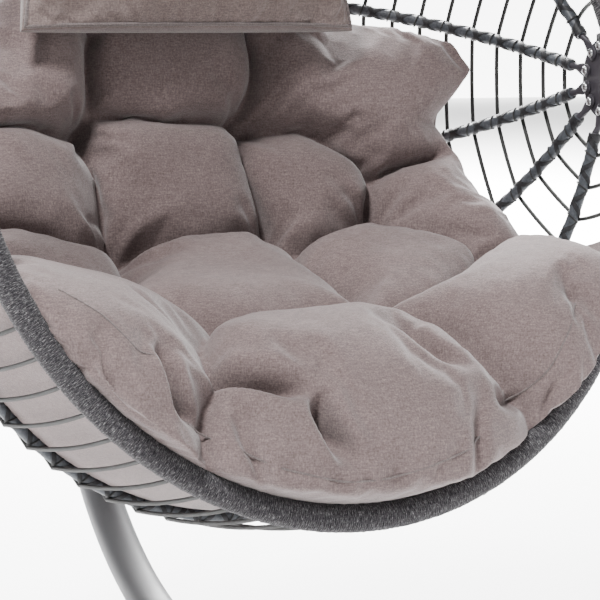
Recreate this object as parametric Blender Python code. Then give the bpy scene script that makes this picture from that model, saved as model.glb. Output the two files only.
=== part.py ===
"""Hanging egg chair: a C-shaped steel stand on a ring base, and a woven egg basket that hangs from it
on a swivel and an extension spring, with a one-piece cushion and a head pillow.

Metres, +Z up. The floor is Z = 0, X is the chair's width and the basket opens towards -Y.
The basket is laid out about its rim: U is along the width, W runs up the leaning rim and N points
behind it. Five hoops run from hub to hub like the meridians of a globe whose axis is parallel to X.
"""

import math

import bpy
import bmesh
from mathutils import Vector

# ---- driving dimensions ----------------------------------------------------------------------
GAP = 0.0003                  # clearance between touching pieces
LEAN = math.radians(17.3)     # the rim leans back by this much

RIM_HALF_WIDTH = 0.481
RIM_HALF_HEIGHT = 0.541
RIM_CORE_R = 0.0125
RIM_WRAP_R = 0.019
RIM_STEPS = 34
RIM_BARE = math.radians(5)    # bare rim on each side of the hanging eye, as an angle of the ellipse
SLEEVE_ROOM = 0.0006          # between a tube and the wrap around it

HUB_OUT = 0.512               # hubs, on each side of the middle plane
HUB_UP = 0.054                # hub axis above the rim's widest level, along W
HUB_BACK = 0.104              # hub axis behind the rim plane, along N
HOOP_DEPTH = 0.605            # from the hub axis to the middle of a hoop
HOOP_ANGLES = [math.radians(angle) for angle in (66.7, 29.9, 0.8, -27.8, -63.9)]
HOOP_R = 0.005
HOOP_WRAP_R = 0.0085
HOOP_STEPS = 13
HOOP_BARE = 0.13              # bare rod at each end of a hoop, as an angle of the ellipse
HUB_DISC_R = 0.058
HUB_DISC_THICK = 0.004
BOLT_CIRCLE_R = 0.047
TAB_HALF_WIDTH = 0.009
TAB_HALF_THICK = 0.002
RIVET_R = 0.003
RIVET_HEAD_R = 0.0062
STRUT_ANGLES = (math.radians(95), math.radians(-94))
STRUT_RISES = (0.052, -0.056)  # where each strut meets the rim, above the hub axis

STRAND_R = 0.0028
STRAND_ROOM = 0.0016          # kept between a strand and what it passes over
STRAND_ROWS = 17              # woven rows on each side of the middle
STRAND_PITCH = 0.0466         # between rows, along a hoop

ARM_R = 0.030
ARM_BORE_R = 0.028
ARM_BEND = 0.580              # both bends of the C
ARM_BEND_Y = 0.344            # bend centres behind the rim's centre
ARM_LOW_BEND_Z = -0.233       # bend centres above the rim's centre
ARM_TIP = math.radians(114)    # where the high bend ends, from straight back
SPIGOT_R = 0.0276
SPIGOT_BORE_R = 0.0255
SPIGOT_LENGTH = 0.07
RING_R = 0.530
RING_BACK = 0.250             # ring's centre behind the rim's centre
RING_TUBE_R = 0.020
RING_BORE_R = 0.018
RING_END_ROOM = 0.0025        # between a half ring's square end and the spine's round side
SPINE_R = 0.020
SOCKET_R = 0.034
SOCKET_LENGTH = 0.26
FOOT_R = 0.024
FOOT_RISE = 0.006

ROD_R = 0.005                 # eyes and links
EYE_HALF_WIDTH = 0.016
EYE_RISE = 0.045
EYE_SUNK = 0.005              # how far an eye's legs run into the swivel
LINK_BEND = 0.013
LINK_LENGTH = 0.036           # straight sides of a link
BARREL_R = 0.022
BARREL_LENGTH = 0.030
PIN_R = 0.006
SPRING_COIL_R = 0.019
SPRING_WIRE_R = 0.003
SPRING_TURNS = 11
COIL_LENGTH = 0.115           # of the close coils, between the spring's end hooks
SWIVEL_EDGE = 0.002           # the swivel housing's bevel
SWIVEL_ROOF = 0.018           # height of the housing's bore
SWIVEL_HEAD_R = 0.0100        # the pin's head, which the housing's lip holds
SWIVEL_LIP = 0.009            # height of that lip
SWIVEL_COLLAR = 0.004         # thickness of the pin's collar under the housing
SWIVEL_PLAY = 0.0005

TIE_R = 0.0015                # pillow ties
TIE_ROW = 3                   # the woven row that they are knotted to, from the middle
TIE_PLACE = 0.797             # where on it, as a part of the way from hoop 1 to hoop 2
TIE_SPREAD = 0.05             # between the two ties of a side, in the same measure
TIE_LEAN = 0.0165             # how far a tie's free end hangs outwards
TIE_LEAN_LESS = 0.010         # by how much less the second tie does
TIE_DROP = 0.115              # from the knot down to the free end
TIE_DROP_LESS = 0.010
TIE_ROOM = 0.0006             # between the strand and the knot

# ---- frame of the basket ----------------------------------------------------------------------
FLOOR_BELOW = ARM_BEND - ARM_LOW_BEND_Z + SOCKET_R + 2 * RING_TUBE_R + FOOT_RISE + 2 * GAP
FRONT = RING_BACK - RING_R - RING_TUBE_R
REAR = ARM_BEND_Y + ARM_BEND + ARM_R
RIM_CENTRE = Vector((0, -(FRONT + REAR) / 2, FLOOR_BELOW))
U = Vector((1, 0, 0))
W = Vector((0, math.sin(LEAN), math.cos(LEAN)))
N = Vector((0, math.cos(LEAN), -math.sin(LEAN)))
X, Y, Z = Vector((1, 0, 0)), Vector((0, 1, 0)), Vector((0, 0, 1))
SPINE_Z = FOOT_RISE + GAP + RING_TUBE_R
RING_CENTRE = Vector((0, RIM_CENTRE.y + RING_BACK, SPINE_Z))


def basket_point(u, w, n):
    return RIM_CENTRE + U * u + W * w + N * n


def polar_point(u, angle, radius):
    """A point at this angle (from N towards W) and distance from the hub axis."""
    return basket_point(u, HUB_UP + radius * math.sin(angle), HUB_BACK + radius * math.cos(angle))


def rim_point(t):
    """The rim's centreline: t is 0 at the bottom and pi at the top, and positive towards +X."""
    return basket_point(RIM_HALF_WIDTH * math.sin(t), -RIM_HALF_HEIGHT * math.cos(t), 0)


def rim_point_at(w, side, back=0.0):
    """The rim at height w on this side, moved back from the rim plane."""
    u = RIM_HALF_WIDTH * math.sqrt(max(0, 1 - (w / RIM_HALF_HEIGHT) ** 2))
    return basket_point(side * u, w, back)


def hoop_point(angle, s, out=0.0):
    """A hoop's centreline: s is 0 at the +X hub and pi at the other, moved outwards."""
    across, deep = math.cos(s) / HUB_OUT, math.sin(s) / HOOP_DEPTH
    size = math.hypot(across, deep)
    u = HUB_OUT * math.cos(s) + out * across / size
    return polar_point(u, angle, HOOP_DEPTH * math.sin(s) + out * deep / size)


# Heights of the hanging parts, from the rim's top upwards.
RIM_TOP = rim_point(math.pi)
RIM_EYE_Z = RIM_TOP.z + RIM_CORE_R + EYE_RISE
LINK_STEP = 2 * ROD_R + 0.001           # from one rod's axis to the next where they hook together
LOW_LINK_Z = RIM_EYE_Z - LINK_STEP      # the lower link's bottom bend
SPRING_LOW_Z = LOW_LINK_Z + LINK_LENGTH + 2 * LINK_BEND - ROD_R - SPRING_WIRE_R - 0.001
COIL_LOW_Z = SPRING_LOW_Z + 2 * SPRING_COIL_R
COIL_HIGH_Z = COIL_LOW_Z + COIL_LENGTH
SPRING_HIGH_Z = COIL_HIGH_Z + 2 * SPRING_COIL_R
SWIVEL_EYE_Z = SPRING_HIGH_Z - ROD_R - SPRING_WIRE_R - 0.001
BARREL_Z = SWIVEL_EYE_Z + EYE_RISE + SWIVEL_COLLAR  # the housing's lower face
SWIVEL_TOP_Z = BARREL_Z + BARREL_LENGTH + EYE_RISE
TOP_LINK_Z = SWIVEL_TOP_Z - LINK_STEP
HANGER_Z = TOP_LINK_Z + LINK_LENGTH + 2 * LINK_BEND - LINK_STEP
HANGER_FOOT_Z = HANGER_Z + EYE_RISE

# The high bend's centre is set so that the tube passes just over the hanger's legs.
HOOK_TO_BEND = RIM_CENTRE.y + ARM_BEND_Y - RIM_TOP.y
HIGH_BEND_RISE = math.sqrt(ARM_BEND ** 2 - HOOK_TO_BEND ** 2)
TUBE_HALF_DEPTH = math.sqrt(ARM_R ** 2 - (EYE_HALF_WIDTH - ROD_R) ** 2) * ARM_BEND / HIGH_BEND_RISE
WELD_ROOM = 0.004
ARM_HIGH_BEND_Z = HANGER_FOOT_Z + WELD_ROOM + TUBE_HALF_DEPTH - HIGH_BEND_RISE - RIM_CENTRE.z


# ---- materials ---------------------------------------------------------------------------------
def linear(level):
    level /= 255
    return level / 12.92 if level <= 0.04045 else ((level + 0.055) / 1.055) ** 2.4


def material(name, red, green, blue, roughness, metallic=0.0):
    made = bpy.data.materials.new(name)
    made.use_nodes = True
    shader = made.node_tree.nodes["Principled BSDF"]
    shader.inputs["Base Color"].default_value = (linear(red), linear(green), linear(blue), 1)
    shader.inputs["Roughness"].default_value = roughness
    shader.inputs["Metallic"].default_value = metallic
    made.diffuse_color = shader.inputs["Base Color"].default_value
    return made


# ---- mesh tools ----------------------------------------------------------------------------------
def empty_at(name, place):
    made = bpy.data.objects.new(name, None)
    made.empty_display_size = 0.05
    made.location = place
    bpy.context.scene.collection.objects.link(made)
    return made


def make(name, points, faces, surface, parent=None):
    """An object with its normals out and its round sides smooth. The points are in world space."""
    origin = parent.location if parent else Vector()
    mesh = bpy.data.meshes.new(name)
    mesh.from_pydata([tuple(Vector(point) - origin) for point in points], [], faces)
    shape = bmesh.new()
    shape.from_mesh(mesh)
    bmesh.ops.recalc_face_normals(shape, faces=shape.faces)
    shape.to_mesh(mesh)
    shape.free()
    mesh.shade_smooth()
    mesh.set_sharp_from_angle(angle=math.radians(40))
    if surface:
        mesh.materials.append(surface)
    made = bpy.data.objects.new(name, mesh)
    made.parent = parent
    bpy.context.scene.collection.objects.link(made)
    return made


def directions(path):
    """The unit direction of an open path at each of its points."""
    ends = [path[0], *path, path[-1]]
    return [(after - before).normalized() for before, after in zip(ends, ends[2:])]


def side_axes(path, normal):
    """Two axes across the path at each point: its plane's normal, or one carried along the path."""
    along = directions(path)
    if normal is not None:
        return [(normal, normal.cross(way).normalized()) for way in along]
    first = along[0].orthogonal().normalized()
    axes = []
    for way in along:
        first = (first - way * first.dot(way)).normalized()
        axes.append((first, first.cross(way)))
    return axes


def rings(path, sides, sizes, normal, turn=0.0):
    """Points of one ring at each path point. sizes holds (across the plane, in the plane) radii."""
    found = []
    for place, (first, second), (high, wide) in zip(path, side_axes(path, normal), sizes):
        for k in range(sides):
            angle = math.tau * (k + turn) / sides
            found.append(place + first * high * math.cos(angle) + second * wide * math.sin(angle))
    return found


def ring_faces(count, sides, start=0, loop=False):
    found = []
    for i in range(count if loop else count - 1):
        here, there = start + i * sides, start + (i + 1) % count * sides
        for k in range(sides):
            after = (k + 1) % sides
            found.append((here + k, here + after, there + after, there + k))
    return found


def rod(name, path, radius, sides, surface, parent=None, normal=None, sizes=None, loop=False):
    """A solid bar along a path. A loop's path doesn't repeat its first point."""
    if loop:
        path = [path[-1], *path, path[0]]
        points = rings(path, sides, [(radius, radius)] * len(path), normal, 0.5)[sides:-sides]
        return make(name, points, ring_faces(len(path) - 2, sides, loop=True), surface, parent)
    points = rings(path, sides, sizes or [(radius, radius)] * len(path), normal, 0.5)
    last = len(points) - sides
    caps = [tuple(range(sides)), tuple(range(last, last + sides))]
    return make(name, points, ring_faces(len(path), sides) + caps, surface, parent)


def pipe(name, path, radii, bore, sides, surface, parent=None, normal=None):
    """A tube along a path, open at both ends. radii is its outer radius, or one for each point."""
    radii = radii if isinstance(radii, list) else [radii] * len(path)
    bores = bore if isinstance(bore, list) else [bore] * len(path)
    outer = rings(path, sides, [(r, r) for r in radii], normal, 0.5)
    inner = rings(path, sides, [(r, r) for r in bores], normal, 0.5)
    faces = ring_faces(len(path), sides) + ring_faces(len(path), sides, len(outer))
    for here in (0, len(outer) - sides):
        there = here + len(outer)
        for k in range(sides):
            after = (k + 1) % sides
            faces.append((here + k, here + after, there + after, there + k))
    return make(name, outer + inner, faces, surface, parent)


def turned(name, profile, sides, surface, place, axis=Z, parent=None):
    """A solid turned about an axis through place, from (radius, height) points: 0 radius is a tip."""
    first = axis.orthogonal().normalized()
    second = axis.cross(first)
    points, starts = [], []
    for radius, height in profile:
        starts.append(len(points))
        for k in range(sides if radius else 1):
            angle = math.tau * (k + 0.5) / sides
            out = first * math.cos(angle) + second * math.sin(angle)
            points.append(Vector(place) + axis * height + out * radius)
    faces = []
    for i, (here, there) in enumerate(zip(starts, starts[1:])):
        for k in range(sides):
            after = (k + 1) % sides
            near = [here + k, here + after] if profile[i][0] else [here]
            far = [there + after, there + k] if profile[i + 1][0] else [there]
            faces.append(tuple(near + far))
    return make(name, points, faces, surface, parent)


def cut(made, cutter):
    bore = made.modifiers.new("holes", "BOOLEAN")
    bore.operation = "DIFFERENCE"
    bore.solver = "EXACT"
    bore.object = cutter


def join(made, other):
    """Adds a second shape, which stays in the file as a hidden helper."""
    weld = made.modifiers.new("weld", "BOOLEAN")
    weld.operation = "UNION"
    weld.solver = "EXACT"
    weld.object = other
    hide(other)


def arc(centre, first, second, radius, start, end, steps):
    """Points on a circle from angle start to end, measured from first towards second."""
    found = []
    for i in range(steps + 1):
        angle = start + (end - start) * i / steps
        found.append(centre + first * radius * math.cos(angle) + second * radius * math.sin(angle))
    return found


def eye(name, foot, across, up, rise, surface, parent=None):
    """A bent-rod eye: two legs that stand at foot, and a round bend at this rise."""
    bend = foot + up * (rise - EYE_HALF_WIDTH)
    path = [foot + across * EYE_HALF_WIDTH]
    path += arc(bend, across, up, EYE_HALF_WIDTH, 0, math.pi, 8)
    path += [foot - across * EYE_HALF_WIDTH]
    return rod(name, path, ROD_R, 6, surface, parent, across.cross(up))


def link(name, low, across, surface, parent=None):
    """A closed oval link whose bottom bend is lowest at low."""
    bottom = low + Z * LINK_BEND
    path = arc(bottom, across, Z, LINK_BEND, math.pi, math.tau, 6)
    path += arc(bottom + Z * LINK_LENGTH, across, Z, LINK_BEND, 0, math.pi, 6)
    return rod(name, path, ROD_R, 6, surface, parent, across.cross(Z), loop=True)


# ---- stand ---------------------------------------------------------------------------------------
def arm_point(place, out=0.0):
    """The arm's centreline by length, from the foot of its low bend."""
    low_length, straight = ARM_BEND * math.pi / 2, ARM_HIGH_BEND_Z - ARM_LOW_BEND_Z
    low = RIM_CENTRE + Vector((0, ARM_BEND_Y, ARM_LOW_BEND_Z))
    reach = ARM_BEND + out
    if place < 0:
        return low + Y * place - Z * reach
    if place < low_length:
        angle = place / ARM_BEND
        return low + Y * reach * math.sin(angle) - Z * reach * math.cos(angle)
    if place < low_length + straight:
        return low + Y * reach + Z * (place - low_length)
    angle = (place - low_length - straight) / ARM_BEND
    return low + Z * straight + Y * reach * math.cos(angle) + Z * reach * math.sin(angle)


def spread(start, end, steps):
    return [start + (end - start) * i / steps for i in range(steps + 1)]


def build_arm(steel, plastic):
    straight = ARM_HIGH_BEND_Z - ARM_LOW_BEND_Z
    split = ARM_BEND * math.pi / 2 + straight * 0.3
    tip = ARM_BEND * (math.pi / 2 + ARM_TIP) + straight
    foot = -SOCKET_LENGTH + 0.03
    sides = 10
    low = [arm_point(place) for place in [foot, *spread(0, split, 12)]]
    neck = [arm_point(place) for place in (split + 0.001, split + 0.006, split + SPIGOT_LENGTH)]
    radii = [ARM_R] * len(low) + [SPIGOT_R] * 3
    bores = [ARM_BORE_R] * (len(low) - 1) + [SPIGOT_BORE_R] * 4
    pipe("arm_lower", low + neck, radii, bores, sides, steel, normal=X)
    high = [arm_point(place) for place in spread(split + 0.003, tip, 16)]
    arm_upper = pipe("arm_upper", high, ARM_R, ARM_BORE_R, sides, steel, normal=X)
    end = directions(high)[-1]
    place = high[-1] + end * GAP
    profile = [(0, -0.012), (0.026, -0.012), (0.0265, 0), (0.030, 0), (0.028, 0.006), (0, 0.010)]
    turned("arm_end_cap", profile, sides, plastic, place, end)
    bolt_at = arm_point(split + SPIGOT_LENGTH * 0.5)
    hole = turned("arm_bolt_hole", [(0, -0.06), (0.0043, -0.06), (0.0043, 0.06), (0, 0.06)], 8, None,
                  bolt_at, X)
    hide(hole)
    cut(arm_upper, hole)
    cut(bpy.data.objects["arm_lower"], hole)
    reach = ARM_R + GAP
    profile = [(0, -reach - 0.006), (0.0068, -reach - 0.006), (0.0068, -reach), (0.004, -reach),
               (0.004, reach), (0.0068, reach), (0.0068, reach + 0.004), (0, reach + 0.006)]
    turned("arm_bolt", profile, 8, steel, bolt_at, X)


def hide(helper):
    helper.hide_render = True
    helper.display_type = "WIRE"


def build_base(steel, plastic, rubber):
    half = math.asin((SPINE_R + RING_END_ROOM) / (RING_R - RING_TUBE_R))
    for name, side in (("base_ring_left", -1), ("base_ring_right", 1)):
        path = arc(RING_CENTRE, Y, X * side, RING_R, half, math.pi - half, 12)
        pipe(name, path, RING_TUBE_R, RING_BORE_R, 8, steel, normal=Z)
    reach = RING_R + RING_TUBE_R
    ends = [RING_CENTRE - Y * reach, RING_CENTRE + Y * reach]
    pipe("base_spine", ends, SPINE_R, RING_BORE_R, 12, steel, normal=X)
    axis_z = arm_point(0).z
    middle = Vector((0, arm_point(0).y, axis_z))
    ends = [middle - Y * SOCKET_LENGTH, middle]
    pipe("arm_socket", ends, SOCKET_R, ARM_R + GAP, 10, steel, normal=X)
    profile = [(0, -0.008), (0.0285, -0.008), (0.0285, 0), (SOCKET_R, GAP), (SOCKET_R - 0.002, 0.005),
               (0, 0.007)]
    turned("socket_cap", profile, 12, plastic, ends[0] - Y * GAP, -Y)
    for name, turn in (("foot_front_left", 235), ("foot_front_right", 305), ("foot_rear_right", 55),
                       ("foot_rear_left", 125)):
        angle = math.radians(turn)
        place = RING_CENTRE + X * RING_R * math.cos(angle) + Y * RING_R * math.sin(angle)
        place.z = 0
        profile = [(0, 0), (FOOT_R - 0.002, 0), (FOOT_R, 0.002), (FOOT_R - 0.004, FOOT_RISE), (0, FOOT_RISE)]
        turned(name, profile, 12, rubber, place)


def build_hanger(steel):
    """The eye that hangs under the arm's tip. Its legs end just under the tube."""
    eye("hanger_eye", Vector((0, RIM_TOP.y, HANGER_FOOT_Z)), X, -Z, EYE_RISE, steel)


# ---- suspension ------------------------------------------------------------------------------------
def build_suspension(steel, bodies):
    at = Vector((0, RIM_TOP.y, 0))
    link("top_link", at + Z * TOP_LINK_Z, Y, steel, bodies["swing"])
    top = BARREL_Z + BARREL_LENGTH
    sunk = Z * EYE_SUNK
    top_eye = eye("swivel_top_eye", at + Z * top - sunk, X, Z, EYE_RISE + EYE_SUNK, steel,
                  bodies["tilt"])
    bore, room, edge = PIN_R + GAP, SWIVEL_HEAD_R + SWIVEL_PLAY, SWIVEL_EDGE
    profile = [(bore, 0), (BARREL_R - edge, 0), (BARREL_R, edge), (BARREL_R, BARREL_LENGTH - edge),
               (BARREL_R - edge, BARREL_LENGTH), (0, BARREL_LENGTH), (0, SWIVEL_ROOF),
               (room, SWIVEL_ROOF), (room, SWIVEL_LIP), (bore, SWIVEL_LIP), (bore, 0)]
    join(barrel(profile, at + Z * BARREL_Z, steel, bodies["tilt"]), top_eye)
    play, collar = SWIVEL_PLAY, SWIVEL_COLLAR + SWIVEL_PLAY
    profile = [(0, -collar), (BARREL_R, -collar), (BARREL_R, -play), (PIN_R, -play),
               (PIN_R, SWIVEL_LIP + play), (SWIVEL_HEAD_R, SWIVEL_LIP + play),
               (SWIVEL_HEAD_R, SWIVEL_ROOF - 2 * play), (0, SWIVEL_ROOF - 2 * play)]
    pin = turned("swivel_pin", profile, 12, steel, at + Z * BARREL_Z, parent=bodies["swivel"])
    foot = at + Z * (BARREL_Z - collar) + sunk * 0.5
    join(pin, eye("swivel_lower_eye", foot, X, -Z, foot.z - SWIVEL_EYE_Z, steel, bodies["swivel"]))
    build_spring(at, steel, bodies["swivel"])
    link("lower_link", at + Z * LOW_LINK_Z, Y, steel, bodies["basket"])


def barrel(profile, place, steel, parent):
    """The swivel's housing, closed at the top and bored from below to hold the pin's head."""
    sides, points, faces = 12, [], []
    ring = [(r, h) for r, h in profile[:-1] if r]
    for radius, height in ring:
        for k in range(sides):
            angle = math.tau * (k + 0.5) / sides
            points.append(place + X * radius * math.cos(angle) + Y * radius * math.sin(angle)
                          + Z * height)
    outside = 5                             # points on the outer side, the rest being the bore
    faces += ring_faces(outside, sides)
    faces += ring_faces(len(ring) - outside, sides, outside * sides)
    last = (len(ring) - 1) * sides
    for k in range(sides):
        after = (k + 1) % sides
        faces.append((last + k, last + after, after, k))
    faces.append(tuple(range((outside - 1) * sides, outside * sides)))
    faces.append(tuple(range(outside * sides, (outside + 1) * sides)))
    return make("swivel_barrel", points, faces, steel, parent)


def build_spring(at, steel, parent):
    """Close coils with a hook at each end: the upper hook turns in the YZ plane, the lower in XZ."""
    r, steps = SPRING_COIL_R, 8
    path = arc(at + Z * (SPRING_LOW_Z + r), Z, X, r, math.pi * 1.55, math.pi * 0.62, 9)
    path.append(at + X * r * 0.95 + Y * r * 0.28 + Z * (COIL_LOW_Z - r * 0.35))
    turns = SPRING_TURNS + 0.25
    count = round(turns * steps)
    for i in range(1, count):
        angle = math.tau * (i / steps + 0.05)
        path.append(at + X * r * math.cos(angle) + Y * r * math.sin(angle)
                    + Z * (COIL_LOW_Z + COIL_LENGTH * (i - 1) / (count - 2)))
    path.append(at + Y * r * 0.98 - X * r * 0.10 + Z * (COIL_HIGH_Z + r * 0.35))
    path += arc(at + Z * (SPRING_HIGH_Z - r), Z, Y, r, math.pi * 0.62, -math.pi * 0.55, 9)
    rod("spring", path, SPRING_WIRE_R, 4, steel, parent)


# ---- basket frame -----------------------------------------------------------------------------------
def build_rim(steel, yarn, parent):
    wrapped = math.pi - RIM_BARE
    wrap = [rim_point(t) for t in spread(-wrapped, wrapped, RIM_STEPS)]
    rod("rim_core", [*wrap, RIM_TOP], RIM_CORE_R, 8, steel, parent, N, loop=True)
    pipe("rim_wrap", wrap, RIM_WRAP_R, RIM_CORE_R + SLEEVE_ROOM, 8, yarn, parent, N)
    foot = RIM_TOP + Z * (RIM_CORE_R + 0.0012)
    eye("rim_eye", foot, X, Z, RIM_EYE_Z - foot.z, steel, parent)


def tab_sizes(radii):
    """(across, thick) half sizes of a flattened round-ended tab that becomes a round bar."""
    found = []
    for k, radius in enumerate(radii):
        start = radii[0]
        along = min(1, (radius - start) / 0.006)
        wide = TAB_HALF_WIDTH * (0.45 + 0.55 * math.sqrt(max(0, 1 - (1 - along) ** 2)))
        blend = min(1, max(0, (radius - BOLT_CIRCLE_R - 0.012) / 0.018))
        thick = TAB_HALF_THICK + (HOOP_R - TAB_HALF_THICK) * blend
        found.append((wide + (HOOP_R - wide) * blend, thick))
    return found


def build_hoops(steel, wicker, parent, holes):
    start = BOLT_CIRCLE_R - 0.010
    near = [start, start + 0.002, start + 0.006, BOLT_CIRCLE_R + 0.012, BOLT_CIRCLE_R + 0.024]
    middle = spread(HOOP_BARE, math.pi - HOOP_BARE, HOOP_STEPS)
    sizes = tab_sizes(near)
    sizes = sizes + [(HOOP_R, HOOP_R)] * len(middle) + list(reversed(sizes))
    for number, angle in enumerate(HOOP_ANGLES, 1):
        plane = W * math.cos(angle) - N * math.sin(angle)
        path = [polar_point(HUB_OUT, angle, radius) for radius in near]
        path += [hoop_point(angle, s) for s in middle]
        path += [polar_point(-HUB_OUT, angle, radius) for radius in reversed(near)]
        hoop = rod(f"hoop_{number}", path, HOOP_R, 6, steel, parent, plane, sizes)
        cut(hoop, holes)
        path = [hoop_point(angle, s) for s in middle]
        pipe(f"hoop_wrap_{number}", path, HOOP_WRAP_R, HOOP_R + SLEEVE_ROOM, 6, wicker, parent, plane)


def strut_path(side, angle, rise):
    """From its screw on the hub to the back of the wrapped rim."""
    start = polar_point(side * HUB_OUT, angle, BOLT_CIRCLE_R - 0.010)
    tab = polar_point(side * HUB_OUT, angle, BOLT_CIRCLE_R + 0.010)
    end = rim_point_at(HUB_UP + rise, side, 0.0)
    bend = tab.lerp(end, 0.25) + U * side * 0.004
    stop = end + (bend - end).normalized() * (RIM_WRAP_R + 0.0012)
    first = [start.lerp(tab, part) for part in (0, 0.12, 0.35, 1)]
    return first + [bend.lerp(stop, part) for part in (0, 0.3, 1)]


def build_hubs(steel, bright, parent, holes):
    for word, side in (("left", -1), ("right", 1)):
        face = HUB_OUT + TAB_HALF_THICK + GAP
        place = basket_point(side * face, HUB_UP, HUB_BACK)
        thick = HUB_DISC_THICK
        profile = [(0, 0), (HUB_DISC_R, 0), (HUB_DISC_R, thick - 0.001), (HUB_DISC_R - 0.001, thick),
                   (0, thick)]
        disc = turned(f"hub_disc_{word}", profile, 20, steel, place, X * side, parent)
        cut(disc, holes)
        for end, angle, rise in zip(("upper", "lower"), STRUT_ANGLES, STRUT_RISES):
            path = strut_path(side, angle, rise)
            wide, bar = TAB_HALF_WIDTH, HOOP_R
            sizes = [(TAB_HALF_THICK, wide * part) for part in (0.5, 0.75, 1)]
            sizes += [(TAB_HALF_THICK, wide), (bar * 0.8, bar), (bar, bar), (bar, bar)]
            strut = strut_rod(f"rim_strut_{end}_{word}", path, sizes, steel, parent)
            cut(strut, holes)
        build_rivets(word, side, face + thick, bright, parent)


def strut_rod(name, path, sizes, steel, parent):
    """A bar whose flat tab lies against the hub: its thin way starts along X."""
    sides, points = 8, []
    for place, way, (thin, wide) in zip(path, directions(path), sizes):
        first = (X - way * X.dot(way)).normalized()
        second = first.cross(way)
        for k in range(sides):
            angle = math.tau * (k + 0.5) / sides
            points.append(place + first * thin * math.cos(angle) + second * wide * math.sin(angle))
    last = len(points) - sides
    caps = [tuple(range(sides)), tuple(range(last, last + sides))]
    return make(name, points, ring_faces(len(path), sides) + caps, steel, parent)


def bolt_angles():
    return [STRUT_ANGLES[0], *HOOP_ANGLES, STRUT_ANGLES[1]]


def build_rivets(word, side, outside, bright, parent):
    inside = HUB_OUT - TAB_HALF_THICK - GAP
    length = outside + GAP - inside
    head = RIVET_HEAD_R
    profile = [(0, -0.0032), (head, 0), (RIVET_R, 0), (RIVET_R, length), (head, length),
               (0, length + 0.0024)]
    for number, angle in enumerate(bolt_angles(), 1):
        place = polar_point(side * inside, angle, BOLT_CIRCLE_R)
        turned(f"hub_rivet_{word}_{number}", profile, 6, bright, place, X * side, parent)


def rivet_holes(parent):
    """One cutter with a hole for every rivet."""
    points, faces, sides = [], [], 6
    for side in (-1, 1):
        for angle in bolt_angles():
            for u in (HUB_OUT - 0.02, HUB_OUT + 0.02):
                place = polar_point(side * u, angle, BOLT_CIRCLE_R)
                start = len(points)
                for k in range(sides):
                    turn = math.tau * k / sides
                    radius = RIVET_R + 2 * GAP
                    points.append(place + Y * radius * math.cos(turn) + Z * radius * math.sin(turn))
            faces += ring_faces(2, sides, start - sides)
            faces += [tuple(range(start - sides, start)), tuple(range(start, start + sides))]
    cutter = make("rivet_holes", points, faces, None, parent)
    hide(cutter)
    return cutter


# ---- web ----------------------------------------------------------------------------------------------
def hoop_turns():
    """The angle s of each woven row, from the middle of a hoop outwards, at equal lengths."""
    found, s, length, step = [], math.pi / 2, 0.0, 0.0005
    while len(found) < STRAND_ROWS:
        if length >= STRAND_PITCH * (len(found) + 0.5):
            found.append(s)
        length += step * math.hypot(HUB_OUT * math.sin(s), HOOP_DEPTH * math.cos(s))
        s -= step
    return found


def row_path(s, side):
    """One woven row, from the back of the rim's top half round the hoops to its bottom half."""
    reach = math.sin(s)
    back = RIM_WRAP_R + STRAND_R + STRAND_ROOM
    out = HOOP_WRAP_R + STRAND_R + STRAND_ROOM
    upper = HUB_UP + (RIM_HALF_HEIGHT - HUB_UP) * reach
    lower = HUB_UP - (RIM_HALF_HEIGHT + HUB_UP) * reach
    turn = s if side > 0 else math.pi - s
    path = [rim_point_at(upper, side, back)]
    path += [hoop_point(angle, turn, out) for angle in HOOP_ANGLES]
    return path + [rim_point_at(lower, side, back)]


def build_webs(wicker, parent):
    """Each side is one strand, woven to and fro. It steps from row to row behind the rim."""
    for word, side in (("left", -1), ("right", 1)):
        path = []
        for number, s in enumerate(hoop_turns()):
            row = row_path(s, side)
            path += row if number % 2 == 0 else list(reversed(row))
        rod(f"web_strand_{word}", path, STRAND_R, 4, wicker, parent)


# ---- soft parts ------------------------------------------------------------------------------------------
def wall_radius(u, angle):
    """Distance from the hub axis to the inside of the basket at this width and angle: from hoop to
    hoop, on to the rim's lower half, and then the height of the rim's opening."""
    narrow = math.sqrt(1 - (u / HUB_OUT) ** 2)
    wall = [(HOOP_DEPTH * narrow, hoop) for hoop in HOOP_ANGLES]
    drop = HUB_UP + RIM_HALF_HEIGHT * math.sqrt(1 - (u / RIM_HALF_WIDTH) ** 2) - RIM_WRAP_R
    wall.append((math.hypot(drop, HUB_BACK), -math.pi / 2 - math.atan2(HUB_BACK, drop)))
    for (near, start), (far, end) in zip(wall, wall[1:]):
        if end <= angle <= start:
            chord = near * math.sin(start - angle) + far * math.sin(angle - end)
            return near * far * math.sin(start - end) / chord
    return drop / -math.sin(angle)


def kept_inside(radius, limit):
    """The radius, eased so that it never reaches past the limit."""
    knee = 0.9
    if radius < knee * limit:
        return radius
    return limit * (knee + (1 - knee) * math.tanh((radius / limit - knee) / (1 - knee)))


def shoulder(angle, turn):
    """The angle of a cushion point once its top edge has dropped from the pillow to the shoulders."""
    base, start, end, drop = math.radians(5), math.radians(24), math.radians(36), 0.33
    if angle < base:
        return angle
    part = min(1, max(0, (abs(turn) - start) / (end - start)))
    return base + (angle - base) * (1 - drop * part)


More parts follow.
